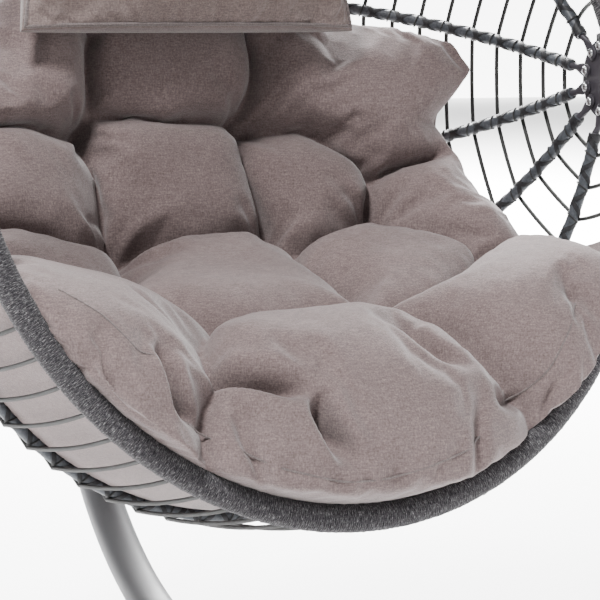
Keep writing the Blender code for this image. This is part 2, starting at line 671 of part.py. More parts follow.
def build_cushion(fabric, parent):
    """A thick bowl that lies against the hoops: its inside is the seat and back, and it ends in a
    roll that fills the rim's lower half and an edge at shoulder height."""
    outer = [(0.500, 36), (0.482, 22), (0.472, 6), (0.472, -10), (0.480, -26), (0.505, -42),
             (0.545, -60), (0.580, -76), (0.580, -88)]
    inner = [(0.570, -99), (0.520, -106), (0.440, -107), (0.360, -99), (0.320, -82), (0.315, -62),
             (0.318, -42), (0.335, -22), (0.335, -5), (0.335, 12), (0.375, 27), (0.440, 37)]
    profile = [(radius, math.radians(angle)) for radius, angle in outer + inner]
    room = 0.020
    points, half, steps, sides = [], 0.475, 14, len(profile)
    for i in range(steps + 1):
        turn = math.radians(70) * (2 * i / steps - 1)
        u = half * math.sin(turn)
        for radius, start_angle in profile:
            angle = shoulder(start_angle, turn)
            reach = kept_inside(radius * math.sqrt(math.cos(turn)), wall_radius(u, angle) - room)
            points.append(polar_point(u, angle, reach))
    last = len(points) - sides
    caps = [tuple(range(sides)), tuple(range(last, last + sides))]
    make("cushion", points, ring_faces(steps + 1, sides) + caps, fabric, parent)


def build_pillow(fabric, parent):
    """A small plump rectangle that leans on the back cushion's top."""
    half_width, half_height, half_thick = 0.255, 0.140, 0.060
    middle = basket_point(0, 0.340, 0.350)
    up, back = W, N
    points, faces, steps = [], [], 6
    for face in (-1, 1):
        for i in range(steps + 1):
            for j in range(steps + 1):
                a, b = 2 * i / steps - 1, 2 * j / steps - 1
                crown = math.sqrt(max(0, (1 - a ** 4) * (1 - b ** 4))) * half_thick + 0.006
                waist_a, waist_b = 1 - 0.05 * (1 - b * b), 1 - 0.05 * (1 - a * a)
                points.append(middle + U * a * half_width * waist_a + up * b * half_height * waist_b
                              + back * face * crown)
    per = (steps + 1) ** 2

    def at(face, i, j):
        return face * per + i * (steps + 1) + j

    for i in range(steps):
        for j in range(steps):
            for face in (0, 1):
                faces.append((at(face, i, j), at(face, i + 1, j), at(face, i + 1, j + 1),
                              at(face, i, j + 1)))
    for k in range(steps):
        for i, j, i2, j2 in ((k, 0, k + 1, 0), (k, steps, k + 1, steps), (0, k, 0, k + 1),
                             (steps, k, steps, k + 1)):
            faces.append((at(0, i, j), at(0, i2, j2), at(1, i2, j2), at(1, i, j)))
    make("pillow", points, faces, fabric, parent)


def tie_route(side, lead):
    """A pillow tie from its knot on a woven row above hoop 2: a little way forward, then down.
    lead is 0 for the first tie of a side and 1 for the second."""
    turn = hoop_turns()[TIE_ROW]
    turn = turn if side > 0 else math.pi - turn
    out = HOOP_WRAP_R + STRAND_R + STRAND_ROOM
    above, below = (hoop_point(angle, turn, out) for angle in HOOP_ANGLES[:2])
    knot = above.lerp(below, TIE_PLACE + lead * TIE_SPREAD) - N * (STRAND_R + TIE_R + TIE_ROOM)
    lean = U * side * (TIE_LEAN - lead * TIE_LEAN_LESS)
    route = [knot, knot - N * 0.006 - Z * 0.001, knot - N * 0.010 - Z * 0.007,
             knot - N * 0.012 - Z * 0.018]
    top, drop = knot - N * 0.012, TIE_DROP - lead * TIE_DROP_LESS
    route += [top + lean * part - Z * (0.018 + (drop - 0.018) * part)
              for part in (0.2, 0.45, 0.7, 1)]
    return route


def smooth(route, steps):
    """A curve through every point of the route."""
    ends = [route[0] * 2 - route[1], *route, route[-1] * 2 - route[-2]]
    found = []
    for p, q, r, t in zip(ends, ends[1:], ends[2:], ends[3:]):
        for i in range(steps):
            x = i / steps
            found.append(0.5 * (2 * q + (r - p) * x + (2 * p - 5 * q + 4 * r - t) * x ** 2
                                + (3 * q - p - 3 * r + t) * x ** 3))
    return found + [route[-1]]


def build_tie(name, side, lead, cotton, parent):
    path = smooth(tie_route(side, lead), 2)
    curve = bpy.data.curves.new(name, "CURVE")
    curve.dimensions = "3D"
    curve.bevel_depth = TIE_R
    curve.bevel_resolution = 2
    curve.use_fill_caps = True
    line = curve.splines.new("POLY")
    line.points.add(len(path) - 1)
    for point, place in zip(line.points, path):
        point.co = (*(place - parent.location), 1)
    curve.materials.append(cotton)
    made = bpy.data.objects.new(name, curve)
    made.parent = parent
    bpy.context.scene.collection.objects.link(made)


# ---- assembly --------------------------------------------------------------------------------------------
def main():
    for leftover in list(bpy.data.objects):
        bpy.data.objects.remove(leftover, do_unlink=True)
    steel = material("powder_coated_steel", 92, 92, 94, 0.42, 0.3)
    frame = material("basket_frame_steel", 60, 59, 62, 0.5, 0.3)
    bright = material("zinc_plated_steel", 176, 176, 178, 0.3, 1.0)
    yarn = material("charcoal_wicker_wrap", 74, 72, 74, 0.85)
    wicker = material("dark_round_strand", 52, 51, 53, 0.6)
    fabric = material("taupe_polyester", 142, 131, 130, 0.9)
    cotton = material("pale_cord", 168, 165, 165, 0.9)
    plastic = material("black_plastic", 32, 32, 33, 0.5)
    rubber = material("black_rubber", 30, 30, 31, 0.8)

    hook = Vector((0, RIM_TOP.y, HANGER_Z))
    tilt = Vector((0, RIM_TOP.y, TOP_LINK_Z))
    bodies = {"swing": empty_at("swing_axis", hook), "tilt": empty_at("tilt_axis", tilt),
              "swivel": empty_at("swivel_axis", Vector((0, RIM_TOP.y, BARREL_Z))),
              "basket": empty_at("spring_axis", Vector((0, RIM_TOP.y, SPRING_LOW_Z)))}

    build_base(steel, plastic, rubber)
    build_arm(steel, plastic)
    build_hanger(steel)
    build_suspension(bright, bodies)
    holes = rivet_holes(bodies["basket"])
    build_rim(frame, yarn, bodies["basket"])
    build_hoops(frame, wicker, bodies["basket"], holes)
    build_hubs(frame, bright, bodies["basket"], holes)
    build_webs(wicker, bodies["basket"])
    build_cushion(fabric, bodies["basket"])
    build_pillow(fabric, bodies["basket"])
    for word, side in (("left", -1), ("right", 1)):
        for number, lead in enumerate((0, 1), 1):
            build_tie(f"pillow_tie_{word}_{number}", side, lead, cotton, bodies["basket"])


main()
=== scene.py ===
"""Looks of the hanging egg chair: yarn-wrapped rim, wicker-wrapped hoops, woven strands, tufted cushion,
head pillow with its ties, and the smooth metal of the stand and the suspension.

Metres, +Z up. The basket is laid out about its rim: U is along the width, W runs up the leaning rim
and N points behind it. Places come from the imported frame.
"""
import math

import bpy
import bmesh
import numpy as np
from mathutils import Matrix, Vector


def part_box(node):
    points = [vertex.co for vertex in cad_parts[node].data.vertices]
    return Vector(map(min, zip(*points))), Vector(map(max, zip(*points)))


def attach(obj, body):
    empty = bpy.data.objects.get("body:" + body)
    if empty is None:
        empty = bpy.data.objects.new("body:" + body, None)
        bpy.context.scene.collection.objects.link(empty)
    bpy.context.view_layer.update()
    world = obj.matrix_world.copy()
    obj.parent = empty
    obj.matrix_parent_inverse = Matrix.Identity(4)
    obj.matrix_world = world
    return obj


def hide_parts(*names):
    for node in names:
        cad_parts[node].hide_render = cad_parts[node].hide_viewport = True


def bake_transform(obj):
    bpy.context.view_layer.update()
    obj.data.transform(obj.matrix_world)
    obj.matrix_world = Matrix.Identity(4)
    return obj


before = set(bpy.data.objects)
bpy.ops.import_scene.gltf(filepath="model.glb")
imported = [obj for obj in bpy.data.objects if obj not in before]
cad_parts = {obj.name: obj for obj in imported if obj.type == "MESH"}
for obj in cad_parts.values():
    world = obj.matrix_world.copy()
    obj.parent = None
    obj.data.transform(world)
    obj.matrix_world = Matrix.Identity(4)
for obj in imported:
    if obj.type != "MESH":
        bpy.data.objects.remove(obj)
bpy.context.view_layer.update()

X, Y, Z = (np.array(axis, float) for axis in ((1, 0, 0), (0, 1, 0), (0, 0, 1)))


def box(node):
    """(lowest corner, highest corner) of a CAD node as arrays."""
    low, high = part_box(node)
    return np.array(low), np.array(high)


def middle(node):
    low, high = box(node)
    return (low + high) / 2


# ---- driving dimensions, as the CAD part has them ----
LEAN = math.radians(17.3)
RIM_CENTRE = middle("rim_core") * (0, 1, 1)
U = X
W = np.array((0, math.sin(LEAN), math.cos(LEAN)))
N = np.array((0, math.cos(LEAN), -math.sin(LEAN)))

RIM_HALF_WIDTH, RIM_HALF_HEIGHT = 0.481, 0.541
RIM_CORE_R, RIM_WRAP_R = 0.0125, 0.019
RIM_BARE = math.radians(5)
HUB_OUT, HUB_UP, HUB_BACK = 0.512, 0.054, 0.104
HOOP_DEPTH = 0.605
HOOP_ANGLES = [math.radians(angle) for angle in (66.7, 29.9, 0.8, -27.8, -63.9)]
HOOP_R, HOOP_WRAP_R, HOOP_BARE = 0.005, 0.0085, 0.13
HUB_DISC_R, HUB_DISC_THICK = 0.058, 0.004
BOLT_CIRCLE_R = 0.047
TAB_HALF_WIDTH, TAB_HALF_THICK = 0.009, 0.002
RIVET_HEAD_R = 0.0062
STRUT_ANGLES = (math.radians(95), math.radians(-94))
STRUT_RISES = (0.052, -0.056)
STRAND_R, STRAND_ROOM, STRAND_ROWS, STRAND_PITCH = 0.0028, 0.0016, 17, 0.0466
GAP = 0.0003

ARM_R, ARM_BEND, ARM_BEND_Y, ARM_LOW_BEND_Z = 0.030, 0.580, 0.344, -0.233
ARM_TIP = math.radians(114)
SOCKET_R, SOCKET_LENGTH = 0.034, 0.26
RING_R, RING_BACK, RING_TUBE_R, SPINE_R = 0.530, 0.250, 0.020, 0.020
FOOT_R, FOOT_RISE = 0.024, 0.006

ROD_R, EYE_HALF_WIDTH, EYE_RISE = 0.005, 0.016, 0.045
LINK_BEND, LINK_LENGTH = 0.013, 0.036
BARREL_R, BARREL_LENGTH = 0.022, 0.030
SPRING_COIL_R, SPRING_WIRE_R, SPRING_TURNS = 0.019, 0.003, 11

TIE_R, TIE_ROW, TIE_PLACE, TIE_SPREAD = 0.0015, 3, 0.797, 0.05
TIE_LEAN, TIE_LEAN_LESS, TIE_DROP, TIE_DROP_LESS, TIE_ROOM = 0.0165, 0.010, 0.115, 0.010, 0.0006


# ---- the basket's frame of reference ----
def unit(v):
    return v / np.linalg.norm(v)


def basket_point(u, w, n):
    return RIM_CENTRE + U * u + W * w + N * n


def polar_point(u, angle, radius):
    """A point at this angle (from N towards W) and distance from the hub axis."""
    return basket_point(u, HUB_UP + radius * math.sin(angle), HUB_BACK + radius * math.cos(angle))


def rim_point(t):
    return basket_point(RIM_HALF_WIDTH * math.sin(t), -RIM_HALF_HEIGHT * math.cos(t), 0)


def rim_point_at(w, side, back=0.0):
    u = RIM_HALF_WIDTH * math.sqrt(max(0, 1 - (w / RIM_HALF_HEIGHT) ** 2))
    return basket_point(side * u, w, back)


def hoop_point(angle, s, out=0.0):
    """A hoop's centreline: s is 0 at the +X hub and pi at the other, moved outwards."""
    across, deep = math.cos(s) / HUB_OUT, math.sin(s) / HOOP_DEPTH
    size = math.hypot(across, deep)
    u = HUB_OUT * math.cos(s) + out * across / size
    return polar_point(u, angle, HOOP_DEPTH * math.sin(s) + out * deep / size)


def hoop_turns():
    """The angle s of each woven row, from the middle of a hoop outwards, at equal lengths."""
    found, s, length, step = [], math.pi / 2, 0.0, 0.0005
    while len(found) < STRAND_ROWS:
        if length >= STRAND_PITCH * (len(found) + 0.5):
            found.append(s)
        length += step * math.hypot(HUB_OUT * math.sin(s), HOOP_DEPTH * math.cos(s))
        s -= step
    return found


RIM_TOP = rim_point(math.pi)
TURNS = hoop_turns()


# ---- camera ----
def put(name, data):
    made = bpy.data.objects.new(name, data)
    bpy.context.scene.collection.objects.link(made)
    return made


def aim(made, place, way):
    """Stand a camera or a lamp at this place, looking this way."""
    made.location = place
    made.rotation_mode = "QUATERNION"
    made.rotation_quaternion = Vector(way).to_track_quat("-Z", "Y")


def build_camera():
    azimuth, elevation, distance = math.radians(-25.6), math.radians(6.1), 3.4
    target = RIM_CENTRE + np.array((-0.017, 0, -0.258))
    back = np.array((math.sin(azimuth) * math.cos(elevation), -math.cos(azimuth) * math.cos(elevation),
                     math.sin(elevation)))
    camera = put("camera", bpy.data.cameras.new("camera"))
    camera.data.sensor_width = 36
    camera.data.lens = 157.5
    aim(camera, target + back * distance, -back)
    bpy.context.scene.camera = camera


build_camera()


# ---- materials ----
def linear(level):
    level /= 255
    return level / 12.92 if level <= 0.04045 else ((level + 0.055) / 1.055) ** 2.4


def colour(red, green, blue):
    return (linear(red), linear(green), linear(blue), 1)


def shaded(shade, part):
    return tuple(c * part for c in shade[:3]) + (1,)


class Shader:
    """A Principled material whose nodes are added one call at a time."""

    def __init__(self, name, roughness, metallic=0.0, **fixed):
        self.made = bpy.data.materials.new(name)
        self.made.use_nodes = True
        self.tree = self.made.node_tree
        self.shader = self.tree.nodes["Principled BSDF"]
        self.shader.inputs["Roughness"].default_value = roughness
        self.shader.inputs["Metallic"].default_value = metallic
        for key, value in fixed.items():
            self.shader.inputs[key.replace("_", " ")].default_value = value

    def node(self, kind, inputs, **settings):
        """A node. Of its inputs, the numbers are set and the sockets are joined."""
        found = self.tree.nodes.new(kind)
        for key, value in settings.items():
            setattr(found, key, value)
        for key, value in inputs.items():
            if isinstance(value, bpy.types.NodeSocket):
                self.tree.links.new(value, found.inputs[key])
            else:
                found.inputs[key].default_value = value
        return found

    def join(self, output, key):
        self.tree.links.new(output, self.shader.inputs[key])

    def place(self, scale=(1, 1, 1), source="Object"):
        where = self.node("ShaderNodeTexCoord", {}).outputs[source]
        return self.node("ShaderNodeMapping", {"Vector": where, "Scale": scale}).outputs["Vector"]

    def noise(self, where, scale, detail=3.0, roughness=0.55):
        return self.node("ShaderNodeTexNoise", {"Vector": where, "Scale": scale, "Detail": detail,
                                                "Roughness": roughness}).outputs["Fac"]

    def wave(self, where, scale, distortion):
        return self.node("ShaderNodeTexWave", {"Vector": where, "Scale": scale, "Distortion": distortion},
                         bands_direction="DIAGONAL").outputs["Fac"]

    def ramp(self, value, *stops):
        found = self.node("ShaderNodeValToRGB", {"Fac": value})
        elements = found.color_ramp.elements
        while len(elements) < len(stops):
            elements.new(0.5)
        for element, (at, shade) in zip(elements, stops):
            element.position = at
            element.color = shade
        return found.outputs["Color"]

    def grey(self, value, low, high, start=0.3, end=0.7):
        """A noise's range from start to end, spread from low to high."""
        return self.node("ShaderNodeMapRange", {"Value": value, "From Min": start, "From Max": end,
                                                "To Min": low, "To Max": high}).outputs["Result"]

    def add(self, first, second, weight=1.0):
        return self.node("ShaderNodeMath", {0: second, 1: weight, 2: first},
                         operation="MULTIPLY_ADD").outputs[0]

    def multiply(self, first, second):
        return self.node("ShaderNodeMix", {"Factor": 1.0, "A": first, "B": second}, data_type="RGBA",
                         blend_type="MULTIPLY").outputs["Result"]

    def bump(self, height, distance, strength):
        found = self.node("ShaderNodeBump", {"Height": height, "Distance": distance,
                                             "Strength": strength})
        self.join(found.outputs["Normal"], "Normal")


def fabric_material(name, dark, mid, light):
    """Brushed plain-weave upholstery: fine threads with slubs, a soft nap and slow colour drift."""
    s = Shader(name, 0.92, Sheen_Weight=0.25, Sheen_Roughness=0.5, Specular_IOR_Level=0.2)
    plain = s.place()
    nap = s.noise(plain, 420, 4, 0.65)
    slub_across = s.noise(s.place((90, 90, 620)), 1, 2)
    slub_up = s.noise(s.place((620, 620, 90)), 1, 2)
    drift = s.noise(plain, 9, 2)
    fine = s.add(s.add(nap, slub_across, 0.5), slub_up, 0.5)
    cloth = s.ramp(s.grey(fine, 0, 1, 0.70, 1.30), (0.0, dark), (0.5, mid), (1.0, light))
    tone = s.ramp(drift, (0.35, (0.90, 0.90, 0.90, 1)), (0.65, (1, 1, 1, 1)))
    s.join(s.multiply(cloth, tone), "Base Color")
    s.bump(fine, 0.0011, 0.55)
    return s.made


def yarn_material():
    """Heathered charcoal yarn. U counts its turns along the tube and V runs along the yarn."""
    s = Shader("heathered_charcoal_yarn", 0.95, Sheen_Weight=0.15, Specular_IOR_Level=0.12)
    fleck = s.noise(s.place((2.6, 0.36, 1), "UV"), 1, 3, 0.75)
    fibre = s.noise(s.place((8, 1.5, 1), "UV"), 1, 2, 0.6)
    mixed = s.add(fleck, fibre, 0.5)
    s.join(s.ramp(s.grey(mixed, 0, 1, 0.56, 1.02), (0.0, colour(18, 17, 19)), (0.40, colour(44, 42, 45)),
                  (0.66, colour(86, 84, 86)), (1.0, colour(170, 168, 168))), "Base Color")
    s.bump(fibre, 0.0005, 0.8)
    return s.made


def wicker_material(name, dark, light, gloss):
    """Extruded flat wicker: fine grooves along it and a soft plastic gloss."""
    s = Shader(name, gloss, Specular_IOR_Level=0.25)
    grain = s.noise(s.place((240, 240, 240)), 1, 3, 0.6)
    patch = s.noise(s.place(), 60, 2)
    s.join(s.ramp(s.add(grain, patch, 0.4), (0.45, dark), (0.95, light)), "Base Color")
    s.join(s.grey(grain, gloss - 0.05, gloss + 0.08), "Roughness")
    s.bump(grain, 0.0002, 0.35)
    return s.made


def painted_material(name, shade, gloss, fleck=0.06):
    """Powder coat: a fine orange-peel surface with a faint fleck."""
    s = Shader(name, gloss, 0.1, Specular_IOR_Level=0.3)
    peel = s.noise(s.place(), 900, 2)
    slow = s.noise(s.place(), 14, 2)
    low, high = shaded(shade, 1 - fleck), shaded(shade, 1 + fleck)
    s.join(s.ramp(s.add(peel, slow, 0.6), (0.55, low), (1.0, high)), "Base Color")
    s.join(s.grey(slow, gloss - 0.04, gloss + 0.06), "Roughness")
    s.bump(peel, 0.00012, 0.35)
    return s.made


def zinc_material():
    """Bright zinc plate with faint drawing marks."""
    s = Shader("zinc_plated_steel_look", 0.28, 1.0)
    mark = s.noise(s.place((60, 60, 900)), 1, 2)
    s.join(s.ramp(mark, (0.3, colour(160, 160, 163)), (0.7, colour(200, 200, 203))), "Base Color")
    s.join(s.grey(mark, 0.22, 0.38), "Roughness")
    s.bump(mark, 0.0001, 0.3)
    return s.made


def soft_plastic_material(name, shade, gloss):
    s = Shader(name, gloss)
    grain = s.noise(s.place(), 1400, 2)
    s.join(s.ramp(grain, (0.3, shaded(shade, 0.85)), (0.7, shade)), "Base Color")
    s.join(s.grey(grain, gloss - 0.06, gloss + 0.06), "Roughness")
    s.bump(grain, 0.0002, 0.4)
    return s.made


def cord_material():
    s = Shader("pale_twisted_cord", 0.9, Sheen_Weight=0.2)
    twist = s.wave(s.place(), 420, 1.0)
    s.join(s.ramp(twist, (0.1, colour(118, 116, 117)), (0.8, colour(182, 179, 179))), "Base Color")
    s.bump(twist, 0.0005, 0.8)
    return s.made


CUSHION_CLOTH = fabric_material("taupe_brushed_cloth", colour(76, 64, 63), colour(101, 87, 86),
                                colour(124, 110, 107))
PILLOW_CLOTH = fabric_material("taupe_pillow_cloth", colour(80, 68, 66), colour(104, 91, 88),
                               colour(127, 114, 110))
SEAM_CLOTH = fabric_material("taupe_seam_cloth", colour(72, 64, 63), colour(94, 85, 84),
                             colour(114, 105, 103))
YARN = yarn_material()
# Painted shade: the flat strips are the same wicker as the sleeve, coloured darker to stand in for the
# shadows along the strips' edges.
FLAT_WICKER_PAINTED_SHADE = wicker_material("flat_wicker_painted_shade_look", colour(20, 19, 21), colour(40, 40, 42), 0.55)
WICKER_SLEEVE = wicker_material("wicker_sleeve_look", colour(46, 48, 52), colour(74, 77, 82), 0.42)
STRAND = wicker_material("round_strand_look", colour(22, 21, 22), colour(50, 50, 49), 0.65)
STAND_STEEL = painted_material("stand_powder_coat", colour(72, 72, 74), 0.5)
FRAME_STEEL = painted_material("basket_frame_coat", colour(50, 47, 52), 0.5)
ZINC = zinc_material()
PLASTIC = soft_plastic_material("black_plastic_look", colour(34, 34, 35), 0.5)
RUBBER = soft_plastic_material("black_rubber_look", colour(30, 30, 31), 0.8)
PALE_CORD = cord_material()


# The look, body and material slot of pieces that share them.
STAND = (STAND_STEEL, "stand", "powder_coated_steel")
PLUG = (PLASTIC, "stand", "black_plastic")
BASKET_FRAME = (FRAME_STEEL, "basket", "basket_frame_steel")
SLEEVE = (WICKER_SLEEVE, "basket", "dark_flat_wicker")
# The strips' look carries painted shade: darker than the sleeve where their edges would be shadowed.
STRIP = (FLAT_WICKER_PAINTED_SHADE, "basket", "dark_flat_wicker")
WOVEN = (STRAND, "basket", "dark_round_strand")
TIE = (PALE_CORD, "basket", "pale_cord")
SEWN = (SEAM_CLOTH, "basket", "taupe_fabric")


# ---- mesh tools ----
def make(name, points, faces, surface, body, nodes=(), sharp=40):
    """A piece on its body, in place of the CAD nodes named."""
    mesh = bpy.data.meshes.new(name)
    mesh.from_pydata([tuple(p) for p in np.asarray(points, float)], [], faces)
    shape = bmesh.new()
    shape.from_mesh(mesh)
    bmesh.ops.recalc_face_normals(shape, faces=shape.faces)
    shape.to_mesh(mesh)
    shape.free()
    mesh.shade_smooth()
    mesh.set_sharp_from_angle(angle=math.radians(sharp))
    mesh.materials.append(surface)
    made = put(name, mesh)
    settle(made, body, nodes)
    return made


def settle(made, body, nodes=()):
    if body:
        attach(made, body)
    if nodes:
        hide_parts(*nodes)


def directions(path, loop=False):
    path = np.asarray(path, float)
    if loop:
        way = np.roll(path, -1, 0) - np.roll(path, 1, 0)
    else:
        way = np.gradient(path, axis=0)
    return way / np.linalg.norm(way, axis=1)[:, None]


def side_axes(path, normal=None, loop=False):
    """Two axes across the path at each point: its plane's normal, or one carried along the path."""
    along = directions(path, loop)
    if normal is not None:
        first = np.repeat(unit(normal)[None], len(along), 0)
    else:
        helper = X if abs(along[0] @ X) < 0.8 else Y
        last, found = unit(helper - along[0] * (helper @ along[0])), []
        for way in along:
            last = unit(last - way * (last @ way))
            found.append(last)
        first = np.array(found)
    second = np.cross(first, along)
    return first, second / np.linalg.norm(second, axis=1)[:, None]


def ring_points(path, axes, wide, tall, sides):
    """Points (path, sides, 3) about the path: the sizes along the two axes are for each ring or point."""
    angle = math.tau * np.arange(sides) / sides
    first, second = axes
    return (path[:, None] + first[:, None] * (wide * np.cos(angle))[..., None]
            + second[:, None] * (tall * np.sin(angle))[..., None])


def swept(path, radii, sides, normal=None, loop=False):
    """Ring points along a path. radii is a number, or one or two numbers for each point."""
    path, radii = np.asarray(path, float), np.asarray(radii, float)
    if radii.ndim < 2:
        radii = np.broadcast_to(radii, (len(path),))[:, None].repeat(2, 1)
    return ring_points(path, side_axes(path, normal, loop), radii[:, :1], radii[:, 1:], sides)


def skin(count, sides, start=0, loop=False, caps=True):
    """Faces over rings that lie one after another."""
    found = []
    for i in range(count if loop else count - 1):
        here, there = start + i * sides, start + (i + 1) % count * sides
        found += [(here + k, here + (k + 1) % sides, there + (k + 1) % sides, there + k)
                  for k in range(sides)]
    if caps and not loop:
        last = start + (count - 1) * sides
        found += [tuple(range(start, start + sides)), tuple(range(last, last + sides))]
    return found


class Shape:
    """Points and faces of one piece, gathered from several swept or turned parts."""

    def __init__(self):
        self.points, self.faces, self.count = [], [], 0

    def rings(self, ring, loop=False, caps=True):
        sides = ring.shape[1]
        self.faces += skin(len(ring), sides, self.count, loop, caps)
        self.points.append(ring.reshape(-1, 3))
        self.count += len(ring) * sides
        return self

    def rod(self, path, radii, sides, normal=None, loop=False):
        return self.rings(swept(path, radii, sides, normal, loop), loop)

    def turned(self, profile, sides, place, axis):
        helper = X if abs(axis @ X) < 0.8 else Y
        first = unit(helper - axis * (helper @ axis))
        second = np.cross(axis, first)
        angle = math.tau * np.arange(sides) / sides
        out = first * np.cos(angle)[:, None] + second * np.sin(angle)[:, None]
        ring = [place + axis * height + out * max(radius, 1e-5) for radius, height in profile]
        return self.rings(np.array(ring))

    def make(self, name, surface, body, slot, nodes=(), sharp=40):
        return make(name, np.concatenate(self.points), self.faces, surface, body, nodes, sharp)


def arc(centre, first, second, radius, start, end, steps):
    angle = np.linspace(start, end, steps + 1)[:, None]
    return list(centre + first * radius * np.cos(angle) + second * radius * np.sin(angle))


def bend(p, q, r, t, steps):
    """Points from q up to r, on the curve that passes p, q, r and t."""
    return [0.5 * (2 * q + (r - p) * x + (2 * p - 5 * q + 4 * r - t) * x ** 2
                   + (3 * q - p - 3 * r + t) * x ** 3) for x in np.arange(steps) / steps]


def smooth(route, steps):
    """A curve through every point of the route."""
    route = [np.asarray(p, float) for p in route]
    ends = [route[0] * 2 - route[1], *route, route[-1] * 2 - route[-2]]
    found = [place for four in zip(ends, ends[1:], ends[2:], ends[3:]) for place in bend(*four, steps)]
    return found + [route[-1]]


def smooth_loop(route, steps=12):
    """A closed curve through every point of the route."""
    route = [np.asarray(p, float) for p in route]
    four = (route[k:] + route[:k] for k in (-1, 0, 1, 2))
    return np.array([place for near in zip(*four) for place in bend(*near, steps)])


# ---- pillow ties ----
def tie_route(side, lead):
    """A pillow tie from its knot on a woven row above hoop 2. lead is 0 for the first of a side."""
    turn = TURNS[TIE_ROW] if side > 0 else math.pi - TURNS[TIE_ROW]
    out = HOOP_WRAP_R + STRAND_R + STRAND_ROOM
    above, below = (hoop_point(angle, turn, out) for angle in HOOP_ANGLES[:2])
    knot = above + (below - above) * (TIE_PLACE + lead * TIE_SPREAD) - N * (STRAND_R + TIE_R + TIE_ROOM)
    lean = U * side * (TIE_LEAN - lead * TIE_LEAN_LESS)
    route = [knot, knot - N * 0.006 - Z * 0.001, knot - N * 0.010 - Z * 0.007,
             knot - N * 0.012 - Z * 0.018]
    top, drop = knot - N * 0.012, TIE_DROP - lead * TIE_DROP_LESS
    return route + [top + lean * part - Z * (0.018 + (drop - 0.018) * part)
                    for part in (0.2, 0.45, 0.7, 1)]


def build_tie(name, side, lead):
    path = smooth(tie_route(side, lead), 3)
    curve = bpy.data.curves.new(name + "_cord", "CURVE")
    curve.dimensions = "3D"
    curve.bevel_depth = TIE_R
    curve.bevel_resolution = 3
    curve.use_fill_caps = True
    line = curve.splines.new("POLY")
    line.points.add(len(path) - 1)
    for point, place in zip(line.points, path):
        point.co = (*place, 1)
    curve.materials.append(PALE_CORD)
    made = put(name + "_cord", curve)
    settle(made, "basket", [name])
    tip = unit(path[-1] - path[-2])
    knot = Shape()
    rise = np.linspace(-1, 1, 9)
    profile = [(0.0024 * math.sqrt(max(0, 1 - r * r)), 0.0022 * r) for r in rise]
    knot.turned(profile, 12, path[-1] - tip * 0.002, tip)
    end = knot.make(name + "_knot", *TIE)


for word, side in (("left", -1), ("right", 1)):
    for number, lead in enumerate((0, 1), 1):
        build_tie(f"pillow_tie_{word}_{number}", side, lead)


# ---- stand ----
HANGER_FOOT_Z = box("hanger_eye")[1][2]             # where the eye meets the arm's tip
HOOK_TO_BEND = RIM_CENTRE[1] + ARM_BEND_Y - RIM_TOP[1]
HIGH_BEND_RISE = math.sqrt(ARM_BEND ** 2 - HOOK_TO_BEND ** 2)
TUBE_HALF_DEPTH = math.sqrt(ARM_R ** 2 - (EYE_HALF_WIDTH - ROD_R) ** 2) * ARM_BEND / HIGH_BEND_RISE
WELD_ROOM = 0.004
ARM_HIGH_BEND_Z = HANGER_FOOT_Z + WELD_ROOM + TUBE_HALF_DEPTH - HIGH_BEND_RISE - RIM_CENTRE[2]
ARM_STRAIGHT = ARM_HIGH_BEND_Z - ARM_LOW_BEND_Z
ARM_SPLIT = ARM_BEND * math.pi / 2 + ARM_STRAIGHT * 0.3
ARM_END = ARM_BEND * (math.pi / 2 + ARM_TIP) + ARM_STRAIGHT


def arm_point(place):
    """The arm's centreline by length, from the foot of its low bend."""
    low_length = ARM_BEND * math.pi / 2
    low = RIM_CENTRE + np.array((0, ARM_BEND_Y, ARM_LOW_BEND_Z))
    if place < 0:
        return low + Y * place - Z * ARM_BEND
    if place < low_length:
        angle = place / ARM_BEND
        return low + Y * ARM_BEND * math.sin(angle) - Z * ARM_BEND * math.cos(angle)
    if place < low_length + ARM_STRAIGHT:
        return low + Y * ARM_BEND + Z * (place - low_length)
    angle = (place - low_length - ARM_STRAIGHT) / ARM_BEND
    return low + Z * ARM_STRAIGHT + Y * ARM_BEND * math.cos(angle) + Z * ARM_BEND * math.sin(angle)


STAND_SIDES, TUBE_EDGE = 40, 0.0012


def build_arm():
    low = [arm_point(p) for p in np.linspace(-SOCKET_LENGTH + 0.03, ARM_SPLIT, 90)]
    radii = [ARM_R] * 89 + [ARM_R - TUBE_EDGE]
    Shape().rod(low, radii, STAND_SIDES, X).make("arm_lower_tube", *STAND, ["arm_lower"])
    high = [arm_point(p) for p in np.linspace(ARM_SPLIT + 0.003, ARM_END, 110)]
    radii = [ARM_R - TUBE_EDGE] + [ARM_R] * 109
    Shape().rod(high, radii, STAND_SIDES, X).make("arm_upper_tube", *STAND, ["arm_upper"])
    end = directions(high)[-1]
    profile = [(0, -0.003), (0.0297, -0.003), (0.030, 0.0), (0.0296, 0.004), (0.027, 0.0078),
               (0.020, 0.0096), (0, 0.0100)]
    cap = Shape().turned(profile, STAND_SIDES, high[-1] + end * GAP, end)
    cap.make("arm_end_plug", *PLUG, ["arm_end_cap"])


